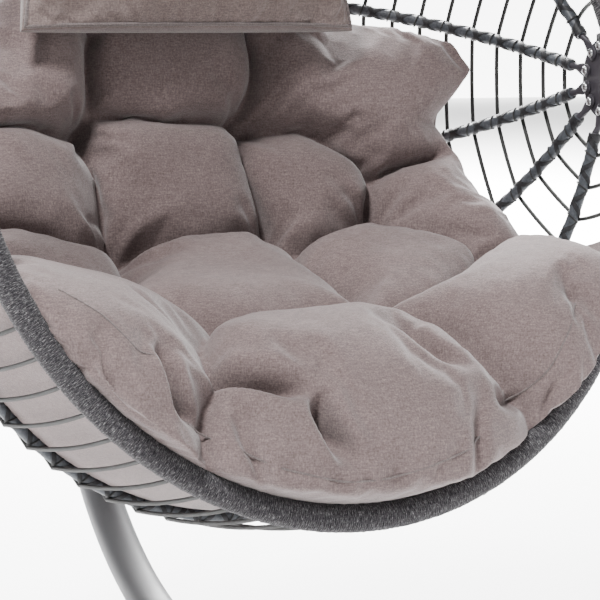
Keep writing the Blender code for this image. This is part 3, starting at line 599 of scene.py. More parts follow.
def build_base():
    """Two half rings with weld beads at their ends, and the spine tube between them."""
    low_end, high_end = box("base_spine")
    start, length, height = low_end[1], high_end[1] - low_end[1], middle("base_spine")[2]
    half = math.asin((SPINE_R + 0.0025) / (RING_R - RING_TUBE_R))
    for name, side in (("base_ring_left", -1), ("base_ring_right", 1)):
        centre = RIM_CENTRE * (0, 1, 0) + Y * RING_BACK + Z * height
        path = arc(centre, Y, X * side, RING_R, half, math.pi - half, 90)
        Shape().rod(path, RING_TUBE_R, 28, Z).make(name + "_tube", *STAND, [name])
        beads = Shape()
        for where in (0, -1):
            way = directions(path)[where]
            seat = np.array(path[where]) - way * (0.001 if where else -0.001)
            bead = arc(seat, Z, np.cross(way, Z), RING_TUBE_R, 0, math.tau, 36)[:-1]
            beads.rod(bead, 0.0022, 8, way, loop=True)
        beads.make(name + "_weld", *STAND)
    profile = [(SPINE_R - 0.0015, 0), (SPINE_R, 0.0015), (SPINE_R, length - 0.0015),
               (SPINE_R - 0.0015, length)]
    spine = Shape().turned(profile, 32, np.array((0, start, height)), Y)
    spine.make("base_spine_tube", *STAND, ["base_spine"])


def build_socket():
    foot, length = arm_point(0), SOCKET_LENGTH
    profile = [(SOCKET_R - 0.0015, 0), (SOCKET_R, 0.0015), (SOCKET_R, length - 0.0015),
               (SOCKET_R - 0.002, length), (ARM_R + GAP, length)]
    socket = Shape().turned(profile, STAND_SIDES, foot - Y * length, Y)
    socket.make("arm_socket_tube", *STAND, ["arm_socket"])
    profile = [(0, -0.001), (0.0335, -0.001), (SOCKET_R, GAP), (SOCKET_R - 0.001, 0.004),
               (SOCKET_R - 0.005, 0.0062), (0, 0.007)]
    cap = Shape().turned(profile, STAND_SIDES, foot - Y * (length + GAP), -Y)
    cap.make("socket_plug", *PLUG, ["socket_cap"])


def build_feet():
    profile = [(0, 0), (FOOT_R - 0.002, 0), (FOOT_R - 0.0005, 0.0006), (FOOT_R, 0.002),
               (FOOT_R - 0.0035, FOOT_RISE - 0.0006), (FOOT_R - 0.0045, FOOT_RISE), (0, FOOT_RISE)]
    for name in ("foot_front_left", "foot_front_right", "foot_rear_left", "foot_rear_right"):
        pad = Shape().turned(profile, 32, middle(name) * (1, 1, 0), Z)
        pad.make(name + "_pad", RUBBER, "stand", "black_rubber", [name])


def plate_bolt():
    """The arm's bolt is the CAD piece itself, with a zinc look."""
    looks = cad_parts["arm_bolt"].data.materials
    looks.clear()
    looks.append(ZINC)


# ---- suspension ----
ZINC_SLOT, ROD_SIDES = "zinc_plated_steel", 18
HANG_LINE = RIM_TOP * (0, 1, 0)                     # the line that everything hangs on, at the floor


def add_eye(shape, height, up, rise):
    """A bent rod eye that stands on the hanging line at this height."""
    foot = HANG_LINE + Z * height
    bend = foot + up * (rise - EYE_HALF_WIDTH)
    path = [foot + X * EYE_HALF_WIDTH, *arc(bend, X, up, EYE_HALF_WIDTH, 0, math.pi, 28),
            foot - X * EYE_HALF_WIDTH]
    return shape.rod(path, ROD_R, ROD_SIDES, Y)


def build_link(name, body):
    bottom = HANG_LINE + Z * (box(name)[0][2] + ROD_R + LINK_BEND)
    path = (arc(bottom, Y, Z, LINK_BEND, math.pi, math.tau, 20)
            + arc(bottom + Z * LINK_LENGTH, Y, Z, LINK_BEND, 0, math.pi, 20))
    Shape().rod(path, ROD_R, ROD_SIDES, X, loop=True).make(name + "_rod", ZINC, body, ZINC_SLOT, [name])


def spring_path(low, high):
    """Close coils with a hook at each end: the upper hook turns in the YZ plane, the lower in XZ."""
    at, r, steps = HANG_LINE, SPRING_COIL_R, 28
    coil_low, coil_high = low + 2 * r, high - 2 * r
    path = arc(at + Z * (low + r), Z, X, r, math.pi * 1.55, math.pi * 0.62, 9)
    path.append(at + X * r * 0.95 + Y * r * 0.28 + Z * (coil_low - r * 0.35))
    hook = smooth(path, 3)[:-1]
    count = round((SPRING_TURNS + 0.25) * steps)
    coil = []
    for i in range(steps // 8, count):
        angle = math.tau * (i / steps + 0.05)
        coil.append(at + X * r * math.cos(angle) + Y * r * math.sin(angle)
                    + Z * (coil_low + (coil_high - coil_low) * (i - 1) / (count - 2)))
    path = [at + Y * r * 0.98 - X * r * 0.10 + Z * (coil_high + r * 0.35)]
    path += arc(at + Z * (high - r), Z, Y, r, math.pi * 0.62, -math.pi * 0.55, 9)
    return hook + coil + smooth(path, 3)


def build_swivel():
    """The housing with its eye, and the pin with its collar and eye."""
    base, top_eye = box("swivel_barrel")[0][2], box("swivel_barrel")[1][2]
    edge, groove = 0.002, 0.0012
    profile = [(0.0075, 0.0004), (0.0085, 0), (BARREL_R - edge, 0), (BARREL_R - 0.0006, 0.0007),
               (BARREL_R, edge), (BARREL_R, 0.011), (BARREL_R - groove, 0.0118),
               (BARREL_R - groove, 0.0132), (BARREL_R, 0.014), (BARREL_R, BARREL_LENGTH - edge),
               (BARREL_R - 0.0006, BARREL_LENGTH - 0.0007), (BARREL_R - edge, BARREL_LENGTH),
               (0, BARREL_LENGTH)]
    shape = Shape().turned(profile, 48, HANG_LINE + Z * base, Z)
    foot = base + BARREL_LENGTH - 0.002
    add_eye(shape, foot, Z, top_eye - ROD_R - foot)
    shape.make("swivel_housing_body", ZINC, "swivel_housing", ZINC_SLOT, ["swivel_barrel"], 30)
    profile = [(0, -0.0045), (BARREL_R - 0.001, -0.0045), (BARREL_R, -0.0035), (BARREL_R, -0.0012),
               (BARREL_R - 0.001, -0.0005), (0.006, -0.0005), (0.006, 0.004), (0, 0.004)]
    shape = Shape().turned(profile, 48, HANG_LINE + Z * base, Z)
    foot = base - 0.003
    add_eye(shape, foot, -Z, foot - box("swivel_pin")[0][2] - ROD_R)
    shape.make("swivel_pin_body", ZINC, "spring_carrier", ZINC_SLOT, ["swivel_pin"], 30)


def build_spring():
    low, high = box("spring")[0][2] + SPRING_WIRE_R, box("spring")[1][2] - SPRING_WIRE_R
    shape = Shape().rod(spring_path(low, high), SPRING_WIRE_R, 14)
    spring = shape.make("spring_wire", ZINC, None, ZINC_SLOT, ["spring"])
    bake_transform(spring)


def build_suspension():
    add_eye(Shape(), HANGER_FOOT_Z, -Z, EYE_RISE).make("hanger_eye_rod", *STAND, ["hanger_eye"])
    build_link("top_link", "top_link")
    build_link("lower_link", "basket")
    build_swivel()
    build_spring()
    foot, top = box("rim_eye")[0][2], box("rim_eye")[1][2]
    eye = add_eye(Shape(), foot, Z, top - ROD_R - foot)
    eye.make("rim_eye_rod", *BASKET_FRAME, ["rim_eye"])


# ---- rim ----
YARN_PITCH = 0.0030


def build_rim():
    core = [rim_point(t) for t in np.linspace(0, math.tau, 161)[:-1]]
    Shape().rod(core, RIM_CORE_R, 20, N, loop=True).make(
        "rim_core_tube", *BASKET_FRAME, ["rim_core"])
    length = math.pi * (RIM_HALF_WIDTH + RIM_HALF_HEIGHT)
    turns = round(length / YARN_PITCH)
    per, sides = 5, 24
    count = turns * per + 1
    wrapped = math.pi - RIM_BARE
    path = np.array([rim_point(t) for t in np.linspace(-wrapped, wrapped, count)])
    chance = np.random.default_rng(3)
    place = np.arange(count)[:, None] / per + np.arange(sides)[None] / sides
    lift = chance.uniform(-1, 1, (turns + 3,))
    turn = place.astype(int)
    ridge = np.abs(np.sin(math.pi * place))
    fuzz = chance.uniform(-1, 1, (count, sides))
    radius = RIM_WRAP_R - 0.0011 + 0.0010 * ridge ** 0.8 + 0.0003 * lift[turn] + 0.0002 * fuzz
    ring = ring_points(path, side_axes(path, N), radius, radius, sides)
    first, last = (path[k] * 0.35 + ring[k] * 0.65 for k in (0, -1))
    ring = np.concatenate([first[None], ring, last[None]])
    wrap = Shape().rings(ring).make("rim_yarn", YARN, "basket", "charcoal_yarn", ["rim_wrap"], 180)
    lay_uv(wrap, sides, len(ring), turns, math.tau * RIM_WRAP_R / YARN_PITCH)


def lay_uv(made, sides, count, length, around):
    """UVs along and around a swept tube, in turns of its yarn."""
    layer = made.data.uv_layers.new(name="yarn")
    corner = np.zeros(len(made.data.loops), np.int32)
    made.data.loops.foreach_get("vertex_index", corner)
    start = np.zeros(len(made.data.polygons), np.int32)
    made.data.polygons.foreach_get("loop_start", start)
    face = np.searchsorted(start, np.arange(len(corner)), "right") - 1
    place = corner % sides
    seam = np.maximum.reduceat(place, start)[face] == sides - 1
    place = np.where(seam & (place == 0), sides, place)
    flat = np.stack([length * (corner // sides) / count, around * place / sides], 1)
    layer.data.foreach_set("uv", flat.ravel())


# ---- hoops ----
SLEEVE_R = 0.0081
STRIP_R, STRIP_HALF_WIDTH, STRIP_HALF_THICK, STRIP_STEPS = 0.0087, 0.0034, 0.0006, 20


def tab_radii(radii):
    """(across, thick) half sizes of a flattened round-ended tab that becomes a round bar."""
    found = []
    for radius in radii:
        along = min(1, (radius - radii[0]) / 0.006)
        wide = TAB_HALF_WIDTH * (0.35 + 0.65 * math.sqrt(max(0, 1 - (1 - along) ** 2)))
        blend = min(1, max(0, (radius - BOLT_CIRCLE_R - 0.010) / 0.012))
        thick = TAB_HALF_THICK + (HOOP_R - TAB_HALF_THICK) * blend
        found.append((wide + (HOOP_R - wide) * blend, thick))
    return found


class HoopLine:
    """A hoop's centreline by length from its middle, with the two axes across it."""

    def __init__(self, angle):
        s = np.linspace(HOOP_BARE, math.pi - HOOP_BARE, 700)
        self.path = np.array([hoop_point(angle, turn) for turn in s])
        step = np.linalg.norm(np.diff(self.path, axis=0), axis=1)
        length = np.concatenate([[0], np.cumsum(step)])
        self.half = length[-1] / 2
        self.length = length - self.half
        self.plane = W * math.cos(angle) - N * math.sin(angle)
        _, self.second = side_axes(self.path, self.plane)
        self.inner = -1 if self.second[350] @ (self.path[350] - self.path[0]) > 0 else 1

    def at(self, where):
        """Centre and outward axis at these lengths."""
        pick = [np.interp(where, self.length, column) for column in self.path.T]
        out = [np.interp(where, self.length, column) for column in (-self.inner * self.second).T]
        return np.stack(pick, -1), np.stack(out, -1)

    def surface(self, where, angle, radius):
        """Points on a sleeve: angle 0 is the side away from the hub axis."""
        centre, out = self.at(where)
        return (centre + out * (np.cos(angle) * radius)[..., None]
                + self.plane * (np.sin(angle) * radius)[..., None])


def wicker_strip(line, way):
    """One flat strip that winds along the hoop and crosses its mirror image at every woven row."""
    end = line.half - 0.004
    count = int(2 * end / STRAND_PITCH * STRIP_STEPS)
    where = np.linspace(-end, end, count)
    angle = way * math.tau * (where / STRAND_PITCH - 0.5)
    run = np.array((STRAND_PITCH, way * math.tau * STRIP_R))
    run = run / np.linalg.norm(run)
    lift = STRIP_R + 0.00045 * way * np.cos(angle)
    corners = []
    for offset, rise in ((-1, -1), (1, -1), (1, 1), (0.4, 1.35), (-0.4, 1.35), (-1, 1)):
        slide = STRIP_HALF_WIDTH * offset
        corners.append(line.surface(where - run[1] * slide, angle + run[0] * slide / STRIP_R,
                                    lift + STRIP_HALF_THICK * rise))
    return np.stack(corners, 1)


def build_hoops():
    start = BOLT_CIRCLE_R - 0.010
    near = [start + d for d in (0, 0.0006, 0.0018, 0.0035, 0.006, 0.012, 0.018, 0.022, 0.026, 0.030,
                                0.034)]
    for number, angle in enumerate(HOOP_ANGLES, 1):
        line = HoopLine(angle)
        turns = np.linspace(HOOP_BARE, math.pi - HOOP_BARE, 90)
        path = [polar_point(HUB_OUT, angle, radius) for radius in near]
        path += [hoop_point(angle, s) for s in turns]
        path += [polar_point(-HUB_OUT, angle, radius) for radius in reversed(near)]
        sizes = tab_radii(near)
        sizes = sizes + [(HOOP_R, HOOP_R)] * len(turns) + list(reversed(sizes))
        Shape().rod(path, np.array(sizes), 16, line.plane).make(
            f"hoop_{number}_rod", *BASKET_FRAME, [f"hoop_{number}"])
        pick = np.linspace(0, 699, 120).astype(int)
        sleeve = Shape().rod(line.path[pick], SLEEVE_R, 20, line.plane)
        sleeve.make(f"hoop_{number}_sleeve", *SLEEVE)
        strips = Shape()
        for way in (-1, 1):
            strips.rings(wicker_strip(line, way))
        for end in (-1, 1):
            cuff, _ = line.at(np.linspace(line.half - 0.013, line.half, 7) * end)
            strips.rod(cuff, [0.0084, 0.0092, 0.0092, 0.0089, 0.0092, 0.0092, 0.0084], 18, line.plane)
        strips.make(f"hoop_{number}_wicker", *STRIP, [f"hoop_wrap_{number}"], 50)


# ---- hubs ----
def strut_path(side, angle, rise):
    start = polar_point(side * HUB_OUT, angle, BOLT_CIRCLE_R - 0.010)
    tab = polar_point(side * HUB_OUT, angle, BOLT_CIRCLE_R + 0.010)
    end = rim_point_at(HUB_UP + rise, side)
    bend = tab + (end - tab) * 0.25 + U * side * 0.004
    stop = end + unit(bend - end) * (RIM_WRAP_R + 0.0002)
    first = [start + (tab - start) * part for part in (0, 0.04, 0.12, 0.35, 1)]
    return first + [bend + (stop - bend) * part for part in (0, 0.15, 0.3, 0.6, 1)]


def build_strut(name, side, angle, rise):
    """A flattened tab that becomes a round bar and ends on the rim."""
    path = np.array(strut_path(side, angle, rise))
    sizes = [(TAB_HALF_THICK, TAB_HALF_WIDTH * part) for part in (0.35, 0.62, 0.85, 1, 1)]
    sizes += [(0.004, 0.005), (0.0047, 0.005)] + [(0.005, 0.005)] * 3
    along = directions(path)
    first = X - along * (along @ X)[:, None]
    first /= np.linalg.norm(first, axis=1)[:, None]
    size = np.array(sizes)
    ring = ring_points(path, (first, np.cross(first, along)), size[:, :1], size[:, 1:], 16)
    Shape().rings(ring).make(name + "_bar", *BASKET_FRAME, [name])


def build_screw(name, node, side, angle):
    inside = HUB_OUT - TAB_HALF_THICK - GAP
    length = 2 * (TAB_HALF_THICK + GAP) + HUB_DISC_THICK + GAP
    quarter = np.linspace(0, math.pi / 2, 8)
    profile = [(RIVET_HEAD_R * math.sin(a), -0.0032 * math.cos(a)) for a in quarter]
    profile += [(0.003, 0.0), (0.003, length)]
    profile += [(RIVET_HEAD_R * math.cos(a), length + 0.0024 * math.sin(a)) for a in quarter]
    screw = Shape().turned(profile, 24, polar_point(side * inside, angle, BOLT_CIRCLE_R), X * side)
    screw.make(name, ZINC, "basket", ZINC_SLOT, [node], 30)


def build_hubs():
    thick = HUB_DISC_THICK
    profile = [(0, 0), (HUB_DISC_R - 0.0004, 0), (HUB_DISC_R, 0.0006), (HUB_DISC_R, thick - 0.0012),
               (HUB_DISC_R - 0.0005, thick - 0.0004), (HUB_DISC_R - 0.0014, thick), (0, thick)]
    for word, side in (("left", -1), ("right", 1)):
        place = basket_point(side * (HUB_OUT + TAB_HALF_THICK + GAP), HUB_UP, HUB_BACK)
        disc = Shape().turned(profile, 72, place, X * side)
        disc.make(f"hub_disc_{word}_plate", *BASKET_FRAME, [f"hub_disc_{word}"], 30)
        for end, angle, rise in zip(("upper", "lower"), STRUT_ANGLES, STRUT_RISES):
            build_strut(f"rim_strut_{end}_{word}", side, angle, rise)
        for number, angle in enumerate([STRUT_ANGLES[0], *HOOP_ANGLES, STRUT_ANGLES[1]], 1):
            build_screw(f"hub_screw_{word}_{number}", f"hub_rivet_{word}_{number}", side, angle)


# ---- web ----
LOOP_R, LOOP_SLANT = 0.0013, 0.0042


def row_points(s, side):
    """The places that one woven row passes, from the rim's top half round the hoops to its bottom."""
    reach = math.sin(s)
    back = RIM_WRAP_R + STRAND_R + 0.0004
    out = HOOP_WRAP_R + STRAND_R + 0.0002
    upper = HUB_UP + (RIM_HALF_HEIGHT - HUB_UP) * reach
    lower = HUB_UP - (RIM_HALF_HEIGHT + HUB_UP) * reach
    turn = s if side > 0 else math.pi - s
    path = [rim_point_at(upper, side, back)]
    path += [hoop_point(angle, turn, out) for angle in HOOP_ANGLES]
    return path + [rim_point_at(lower, side, back)]


def bowed(points, middle_point, steps=8, bow=0.025):
    """Straight spans that bow a little outwards, as a springy strand does."""
    found = []
    for a, b in zip(points, points[1:]):
        span = b - a
        out = (a + b) / 2 - middle_point
        out -= span * (out @ span) / (span @ span)
        out = unit(out) * np.linalg.norm(span) * bow
        for i in range(steps):
            x = i / steps
            found.append(a + span * x + out * 4 * x * (1 - x))
    return found + [points[-1]]


def build_web():
    """One strand a side, and a slanted loop of it round each hoop at every row."""
    lines = [HoopLine(angle) for angle in HOOP_ANGLES]
    ring, radius = np.linspace(0, math.tau, 25)[:-1], HOOP_WRAP_R + 0.0004
    for word, side in (("left", -1), ("right", 1)):
        path, loops = [], Shape()
        for number, s in enumerate(TURNS):
            points = row_points(s, side)
            axis = basket_point(side * HUB_OUT * math.cos(s), HUB_UP, HUB_BACK)
            row = bowed(points, axis)
            path += row if number % 2 == 0 else row[::-1]
            where = (number + 0.5) * STRAND_PITCH * side
            for line in lines:
                sign = 1 if line.path[0][0] > 0 else -1
                place, out = line.at(np.array([-where * sign]))
                slant = LOOP_SLANT * np.cos(ring + 0.6)
                along = directions(line.path)[np.argmin(abs(line.length + where * sign))]
                loop = (place[0] + out[0] * (np.cos(ring) * radius)[:, None]
                        + line.plane * (np.sin(ring) * radius)[:, None] + along * slant[:, None])
                loops.rod(loop, LOOP_R, 8, loop=True)
        strand = Shape().rod(path, STRAND_R + 0.0002, 12)
        strand.make(f"web_{word}_strand", *WOVEN, [f"web_strand_{word}"])
        loops.make(f"web_{word}_loops", *WOVEN)


# ---- cushion ----
# The section about the hub axis: (distance from the axis, angle), first the outside, then the inside.
CUSHION_OUTSIDE = [(0.500, 36), (0.482, 22), (0.472, 6), (0.472, -10), (0.480, -26), (0.530, -42),
                   (0.600, -58), (0.640, -74), (0.645, -88)]
CUSHION_INSIDE = [(0.618, -99), (0.538, -106), (0.450, -107), (0.366, -99), (0.320, -82), (0.315, -62),
                  (0.318, -42), (0.335, -22), (0.335, -5), (0.335, 12), (0.375, 27), (0.440, 37)]
CUSHION_HALF = 0.475
CUSHION_ROOM = 0.006
# How far round the side edge reaches (degrees of turn) at each angle about the hub axis.
CUSHION_EDGE = [(-112, 66), (-104, 70), (-84, 73), (-58, 70), (-29, 66.5), (-9, 62), (3, 57), (14, 62),
                (26, 67.5), (37, 63)]
# Puffs: (sideways, down the inside from the top edge, half width, half height, rise), in metres.
PUFFS = [(-0.205, 0.190, 0.10, 0.10, 0.046), (0.000, 0.180, 0.11, 0.09, 0.040),
         (0.270, 0.215, 0.16, 0.13, 0.050), (-0.390, 0.230, 0.10, 0.13, 0.040),
         (-0.015, 0.350, 0.12, 0.10, 0.050), (0.165, 0.365, 0.08, 0.10, 0.044),
         (-0.235, 0.375, 0.12, 0.11, 0.050), (0.375, 0.470, 0.11, 0.11, 0.042),
         (-0.270, 0.545, 0.13, 0.09, 0.044), (-0.410, 0.420, 0.09, 0.13, 0.036),
         (-0.005, 0.610, 0.13, 0.13, 0.056), (0.210, 0.600, 0.11, 0.13, 0.046),
         (0.010, 1.010, 0.190, 0.17, 0.040), (-0.315, 0.930, 0.15, 0.22, 0.052),
         (0.310, 0.890, 0.15, 0.21, 0.056)]
TUFT_DEPTH, TUFT_R, TUFT_CREASES = 0.034, 0.026, 8
# Tufts: (sideways, down the inside).
TUFTS = [(-0.128, 0.277), (0.100, 0.264), (-0.111, 0.475), (0.078, 0.452), (0.246, 0.452)]
# Short folds: (sideways, down the inside, half length, turn in degrees, half width, depth).
FOLDS = [(-0.236, 1.010, 0.042, 76, 0.012, 0.052), (-0.061, 1.045, 0.032, 70, 0.011, 0.052),
         (-0.128, 0.975, 0.050, 35, 0.014, 0.050), (-0.150, 1.075, 0.050, 84, 0.008, 0.018),
         (0.182, 1.045, 0.020, 20, 0.010, 0.020), (0.328, 0.955, 0.014, 60, 0.010, 0.016),
         (0.100, 0.930, 0.040, 75, 0.012, 0.028), (0.120, 1.080, 0.045, 100, 0.009, 0.012),
         (-0.330, 1.070, 0.040, 60, 0.009, 0.012), (0.235, 1.085, 0.040, 110, 0.009, 0.010)]
# Sewn lines over the front roll, through these places: (sideways, down the inside).
SEAMS = [[(-0.385, 0.930), (-0.345, 0.955), (-0.300, 0.985), (-0.262, 0.995), (-0.240, 1.010)],
         [(-0.215, 1.055), (-0.140, 1.085), (-0.100, 1.092), (-0.024, 1.098), (0.075, 1.085),
          (0.125, 1.075)],
         [(0.182, 1.042), (0.225, 1.035), (0.270, 1.010), (0.330, 0.970)]]


def wall_radius(u, theta):
    """Distance from the hub axis to the inside of the basket, for arrays of widths and angles."""
    u, theta = np.broadcast_arrays(u, np.radians(theta))
    narrow = np.sqrt(1 - (u / HUB_OUT) ** 2)
    wall = [(HOOP_DEPTH * narrow, np.full(u.shape, hoop)) for hoop in HOOP_ANGLES]
    drop = HUB_UP + RIM_HALF_HEIGHT * np.sqrt(1 - (u / RIM_HALF_WIDTH) ** 2) - RIM_WRAP_R
    wall.append((np.hypot(drop, HUB_BACK), -math.pi / 2 - np.arctan2(HUB_BACK, drop)))
    reach = drop / np.maximum(-np.sin(theta), 1e-3)
    for (near, start), (far, end) in zip(wall, wall[1:]):
        chord = near * np.sin(start - theta) + far * np.sin(theta - end)
        there = (theta <= start) & (theta >= end)
        reach = np.where(there, near * far * np.sin(start - end) / np.where(there, chord, 1), reach)
    return reach


def shoulder(x, y, turn):
    """The top edge drops from behind the pillow to the shoulders."""
    angle, reach = np.arctan2(y, x), np.hypot(x, y)
    base = math.radians(5)
    angle = np.where(angle > base, base + (angle - base) * (1 - 0.33 * ease(turn, 24, 36)), angle)
    return reach * np.cos(angle), reach * np.sin(angle)


def kept_inside(radius, limit):
    """The radius, eased so that it never reaches past the limit."""
    knee = 0.98
    near = limit * (knee + (1 - knee) * np.tanh((radius / limit - knee) / (1 - knee)))
    return np.where(radius < knee * limit, radius, near)


def resample(points, count, loop):
    points = np.asarray(points, float)
    if loop:
        points = np.concatenate([points, points[:1]])
    step = np.linalg.norm(np.diff(points, axis=0), axis=1)
    length = np.concatenate([[0], np.cumsum(step)])
    where = np.linspace(0, length[-1], count + 1)[:-1] if loop else np.linspace(0, length[-1], count)
    return np.stack([np.interp(where, length, column) for column in points.T], -1)


def ease(x, low, high):
    x = np.clip((x - low) / (high - low), 0, 1)
    return x * x * (3 - 2 * x)


def wander(a, b, seed, size):
    """A smooth wandering value of two coordinates, from a few sine waves."""
    chance = np.random.default_rng(seed)
    total = np.zeros(np.broadcast(a, b).shape)
    for _ in range(6):
        way, phase = chance.uniform(0, math.tau, 2)
        rate = math.tau / size * chance.uniform(0.6, 1.7)
        total += np.sin(rate * (a * math.cos(way) + b * math.sin(way)) + phase)
    return total / 6


def puff_height(side, down):
    """How far the cover stands off its sewn level, and how much of a place is in a fold.

    side and down are lengths over the cover.
    """
    a = side + 0.016 * wander(side, down, 5, 0.22)
    b = down + 0.016 * wander(side, down, 9, 0.22)
    gaps = np.array([np.hypot((a - x) / wide, (b - y) / tall) for x, y, wide, tall, _ in PUFFS])
    order = np.argsort(gaps, axis=0)
    near, next_near = (np.take_along_axis(gaps, order[k:k + 1], 0)[0] for k in (0, 1))
    share = np.exp(-gaps * 6)
    rise = (share * np.array([puff[4] for puff in PUFFS])[:, None, None]).sum(0) / share.sum(0)
    crease = np.clip((next_near - near) / 1.5, 0, 1)
    dome = np.maximum(1 - (1 - crease) ** 2.4, 1e-4) ** 0.62
    height = rise * (1.6 * dome - 1.05)
    height = height + 0.0032 * wander(side, down, 12, 0.05) * (1 - 0.75 * crease)
    for x, y in TUFTS:
        away = np.hypot(a - x, b - y)
        round_it = np.arctan2(b - y, a - x)
        height = height - TUFT_DEPTH * np.exp(-(away / TUFT_R) ** 2)
        creases = np.sin(round_it * TUFT_CREASES + x * 40) * np.exp(-(away / 0.060) ** 2)
        height = height + 0.0070 * creases * ease(away, 0.004, TUFT_R)
    folded = np.zeros(height.shape)
    for x, y, long, turn, wide, deep in FOLDS:
        cos, sin = math.cos(math.radians(turn)), math.sin(math.radians(turn))
        along, across = (side - x) * cos + (down - y) * sin, (down - y) * cos - (side - x) * sin
        across = across + 0.15 * along ** 2 / long
        inner = np.exp(-(across / wide) ** 2 - (along / long) ** 4)
        folded = np.maximum(folded, inner)
        height = height - deep * inner
        height = height + 0.22 * deep * np.exp(-(np.abs(across) / wide - 2) ** 2 - (along / long) ** 4)
    return height, folded


def cushion_grid(across, around):
    """Points of the closed cover (across, around, 3), the share that is the inside, and the tufts."""
    corner = [(r * math.cos(math.radians(t)), r * math.sin(math.radians(t)))
              for r, t in CUSHION_OUTSIDE + CUSHION_INSIDE]
    section = resample(smooth_loop(corner), around, True)
    radius = np.hypot(*section.T)
    theta = np.degrees(np.arctan2(section[:, 1], section[:, 0]))
    way = np.roll(section, -1, 0) - np.roll(section, 1, 0)
    outward = np.stack([way[:, 1], -way[:, 0]], 1)
    outward /= np.linalg.norm(outward, axis=1)[:, None]
    centre = section.mean(0)
    if ((section - centre) * outward).sum() < 0:
        outward = -outward
    length = np.concatenate([[0], np.cumsum(np.linalg.norm(np.diff(section, axis=0), axis=1))])
    top = np.argmax(theta)
    total = length[-1] + np.linalg.norm(section[0] - section[-1])
    down = (length[top] - length) % total                # from the top edge down the inside
    inside = ease(down, -0.01, 0.03) * (1 - ease(down, 1.08, 1.20))
    flat = np.interp(theta, [-108, -99, -88, -60, -40], [0.575, 0.600, 0.600, 0.520, 0.415])
    edge = np.radians(np.interp(theta, *zip(*CUSHION_EDGE)))
    a = np.linspace(-1, 1, across)
    turn = a[:, None] * edge[None]
    close = np.sqrt(np.clip(1 - np.abs(a) ** 7, 0, 1))[:, None]
    size = (flat + (radius - flat) * close) / radius
    side = np.sign(turn) * 0.5 * (CUSHION_HALF + 0.335) * np.abs(turn)
    lift, folded = puff_height(side, np.broadcast_to(down, side.shape))
    lift = (lift + 0.030 * ease(down, 1.03, 1.12)) * inside * ease(1 - np.abs(a), 0, 0.16)[:, None]
    shrink = np.sqrt(np.cos(turn))
    x = (section[:, 0] * size + outward[:, 0] * lift) * shrink
    y = (section[:, 1] * size + outward[:, 1] * lift) * shrink
    x, y = shoulder(x, y, np.degrees(np.abs(turn)))
    u = CUSHION_HALF * np.sin(turn) - np.sign(turn) * np.maximum(lift, 0) * np.sin(np.abs(turn)) * 0.6
    reach, angle = np.hypot(x, y), np.degrees(np.arctan2(y, x))
    room = CUSHION_ROOM * (1 - ease(-angle, 65, 72))
    press = 0.004 * ease(-angle, 84, 96)                 # the cover presses on the rim's yarn
    kept = kept_inside(reach, wall_radius(u, angle) - 0.001 - room + press) / reach
    points = (RIM_CENTRE + U * u[..., None] + W * (HUB_UP + y * kept)[..., None]
              + N * (HUB_BACK + x * kept)[..., None])
    held = np.maximum(1 - inside, 0.9 * ease(folded, 0.3, 0.9))
    for tx, ty in TUFTS:
        held = np.maximum(held, 1 - ease(np.hypot(side - tx, down - ty), 0.010, TUFT_R))
    return points, held, side, np.broadcast_to(down, side.shape)


def inflate(made, held, pressure, spare, cap, frames=18):
    """Cloth simulation of a stuffed cover: spare is how much too large the cover is cut."""
    group = made.vertex_groups.new(name="held")
    for index, weight in enumerate(held):
        group.add([index], float(weight), "REPLACE")
    before = np.array([v.co for v in made.data.vertices])
    cloth = made.modifiers.new("stuffing", "CLOTH")
    cloth.settings.effector_weights.gravity = 0
    for key, value in dict(quality=6, mass=0.3, air_damping=4, tension_stiffness=18,
                           compression_stiffness=18, shear_stiffness=8, bending_stiffness=0.35,
                           use_pressure=True, uniform_pressure_force=pressure, shrink_min=-spare,
                           vertex_group_mass="held", pin_stiffness=1.0).items():
        setattr(cloth.settings, key, value)
    cloth.collision_settings.use_collision = False
    scene = bpy.context.scene
    cloth.point_cache.frame_start, cloth.point_cache.frame_end = 1, frames
    for number in range(1, frames + 1):
        scene.frame_set(number)
    graph = bpy.context.evaluated_depsgraph_get()
    after = np.array([v.co for v in made.evaluated_get(graph).data.vertices])
    move = after - before
    far = np.linalg.norm(move, axis=1)
    move *= (np.minimum(far, cap) / np.maximum(far, 1e-9))[:, None]
    made.modifiers.remove(cloth)
    made.vertex_groups.remove(group)
    scene.frame_set(1)
    for vertex, place in zip(made.data.vertices, before + move):
        vertex.co = place
    return made


def subdivide(made, levels=1):
    finer = made.modifiers.new("finer", "SUBSURF")
    finer.levels = finer.render_levels = levels


def build_cushion():
    across, around = 150, 300
    points, held, side, down = cushion_grid(across, around)
    cover = Shape().rings(points, caps=False)
    half = around // 2
    for first in (0, (across - 1) * around):
        for k in range(half):
            cap = (first + k, first + k + 1, first + around - k - 1, first + (around - k) % around)
            cover.faces.append(tuple(dict.fromkeys(cap)))
    made = cover.make("cushion_cover", CUSHION_CLOTH, "basket", "taupe_fabric", ["cushion"], 180)
    inflate(made, held.reshape(-1), pressure=3.0, spare=0.05, cap=0.022)
    place = np.array([v.co for v in made.data.vertices])
    seams = Shape()
    for seam in SEAMS:
        path = []
        for x, y, _ in smooth([(*spot, 0) for spot in seam], 10):
            gap = np.hypot(side.ravel() - x, down.ravel() - y)
            near = np.argsort(gap)[:6]
            weight = 1 / (gap[near] + 0.001) ** 2
            path.append((place[near] * weight[:, None]).sum(0) / weight.sum())
        path = np.array(path)
        for _ in range(3):
            path[1:-1] = (path[:-2] + path[1:-1] * 2 + path[2:]) / 4
        seams.rod(path, 0.0013, 8)
    seams.make("cushion_seams", *SEWN)
    subdivide(made)


# ---- pillow ----
PILLOW_HALF, PILLOW_UP, PILLOW_BACK = (0.255, 0.140, 0.064), 0.340, 0.350


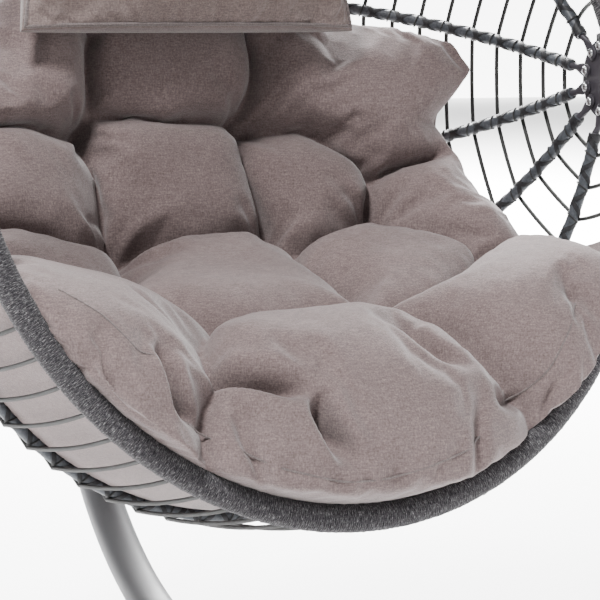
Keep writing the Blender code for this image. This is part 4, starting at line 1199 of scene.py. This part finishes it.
def pillow_point(a, b, face):
    """A point of the pillow's cover: a and b run from -1 to 1 over it, face is -1 in front."""
    wide, tall, thick = PILLOW_HALF
    crown = ((1 - abs(a) ** 3.4) * (1 - abs(b) ** 2.6)) ** 0.48 * thick
    waist_a, waist_b = 1 - 0.055 * (1 - b * b), 1 - 0.045 * (1 - a * a)
    sag = -0.006 * (1 - a * a)                           # it hangs a little in its middle
    return basket_point(a * wide * waist_a, PILLOW_UP + b * tall * waist_b + sag,
                        PILLOW_BACK + face * (crown + 0.003))


def build_pillow():
    wide, tall = ((100, 60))
    a, b = np.linspace(-1, 1, wide), np.linspace(-1, 1, tall)
    ends = np.sin(a * math.pi / 2), np.sin(b * math.pi / 2)
    points, held, faces = [], [], []
    for face in (-1, 1):
        for x in ends[0]:
            for y in ends[1]:
                points.append(pillow_point(x, y, face))
                held.append(1.0 if max(abs(x), abs(y)) > 0.985 else 0.0)
    per = wide * tall

    def at(face, i, j):
        return face * per + i * tall + j

    for i in range(wide - 1):
        for j in range(tall - 1):
            for face in (0, 1):
                faces.append((at(face, i, j), at(face, i + 1, j), at(face, i + 1, j + 1),
                              at(face, i, j + 1)))
    rim = [(i, 0) for i in range(wide)] + [(wide - 1, j) for j in range(1, tall)]
    rim += [(i, tall - 1) for i in range(wide - 2, -1, -1)] + [(0, j) for j in range(tall - 2, 0, -1)]
    for (i, j), (k, m) in zip(rim, rim[1:] + rim[:1]):
        faces.append((at(0, i, j), at(0, k, m), at(1, k, m), at(1, i, j)))
    made = make("pillow_cover", points, faces, PILLOW_CLOTH, "basket", ["pillow"], 180)
    inflate(made, held, pressure=3.0, spare=0.05, cap=0.014)
    subdivide(made)
    seam = [pillow_point(ends[0][i] * 0.985, ends[1][j] * 0.972, -1) for i, j in rim]
    Shape().rod(resample(seam, 260, True), 0.0026, 8, loop=True).make("pillow_piping", *SEWN)


# ---- stage ----
def sheet(name, corners, surface):
    mesh = bpy.data.meshes.new(name)
    mesh.from_pydata(corners, [], [(0, 1, 2, 3)])
    mesh.materials.append(surface)
    put(name, mesh)


def build_stage():
    far, back, high = 30, 26, 3
    pale = (0.92, 0.92, 0.92, 1)
    floor = Shader("pale_floor", 0.9, Base_Color=pale)
    sheet("floor", [(-far, -far, 0), (far, -far, 0), (far, far, 0), (-far, far, 0)], floor.made)
    paper = Shader("lit_paper", 0.5, Base_Color=pale, Emission_Color=(1, 1, 1, 1), Emission_Strength=6.0)
    sheet("backdrop", [(-far, back, 0), (far, back, 0), (far, back, high), (-far, back, high)], paper.made)
    world = bpy.data.worlds.new("studio")
    world.use_nodes = True
    world.node_tree.nodes["Background"].inputs["Color"].default_value = (1, 1, 1, 1)
    world.node_tree.nodes["Background"].inputs["Strength"].default_value = 0.42
    bpy.context.scene.world = world
    lamp("key_light", (-1.9, -1.5, 4.2), RIM_CENTRE, 0.9, 400)
    lamp("fill_light", (2.8, -3.2, 1.8), RIM_CENTRE, 2.4, 26)
    lamp("floor_light", (3.0, 8.5, 6.0), (3.0, 8.5, 0), 9.0, 16000)


def lamp(name, place, target, size, power):
    light = bpy.data.lights.new(name, "AREA")
    light.size = size
    light.energy = power
    aim(put(name, light), place, np.subtract(target, place))


build_arm()
build_base()
build_socket()
build_feet()
plate_bolt()
build_suspension()
build_rim()
build_hoops()
build_hubs()
build_web()
build_cushion()
build_pillow()
build_stage()
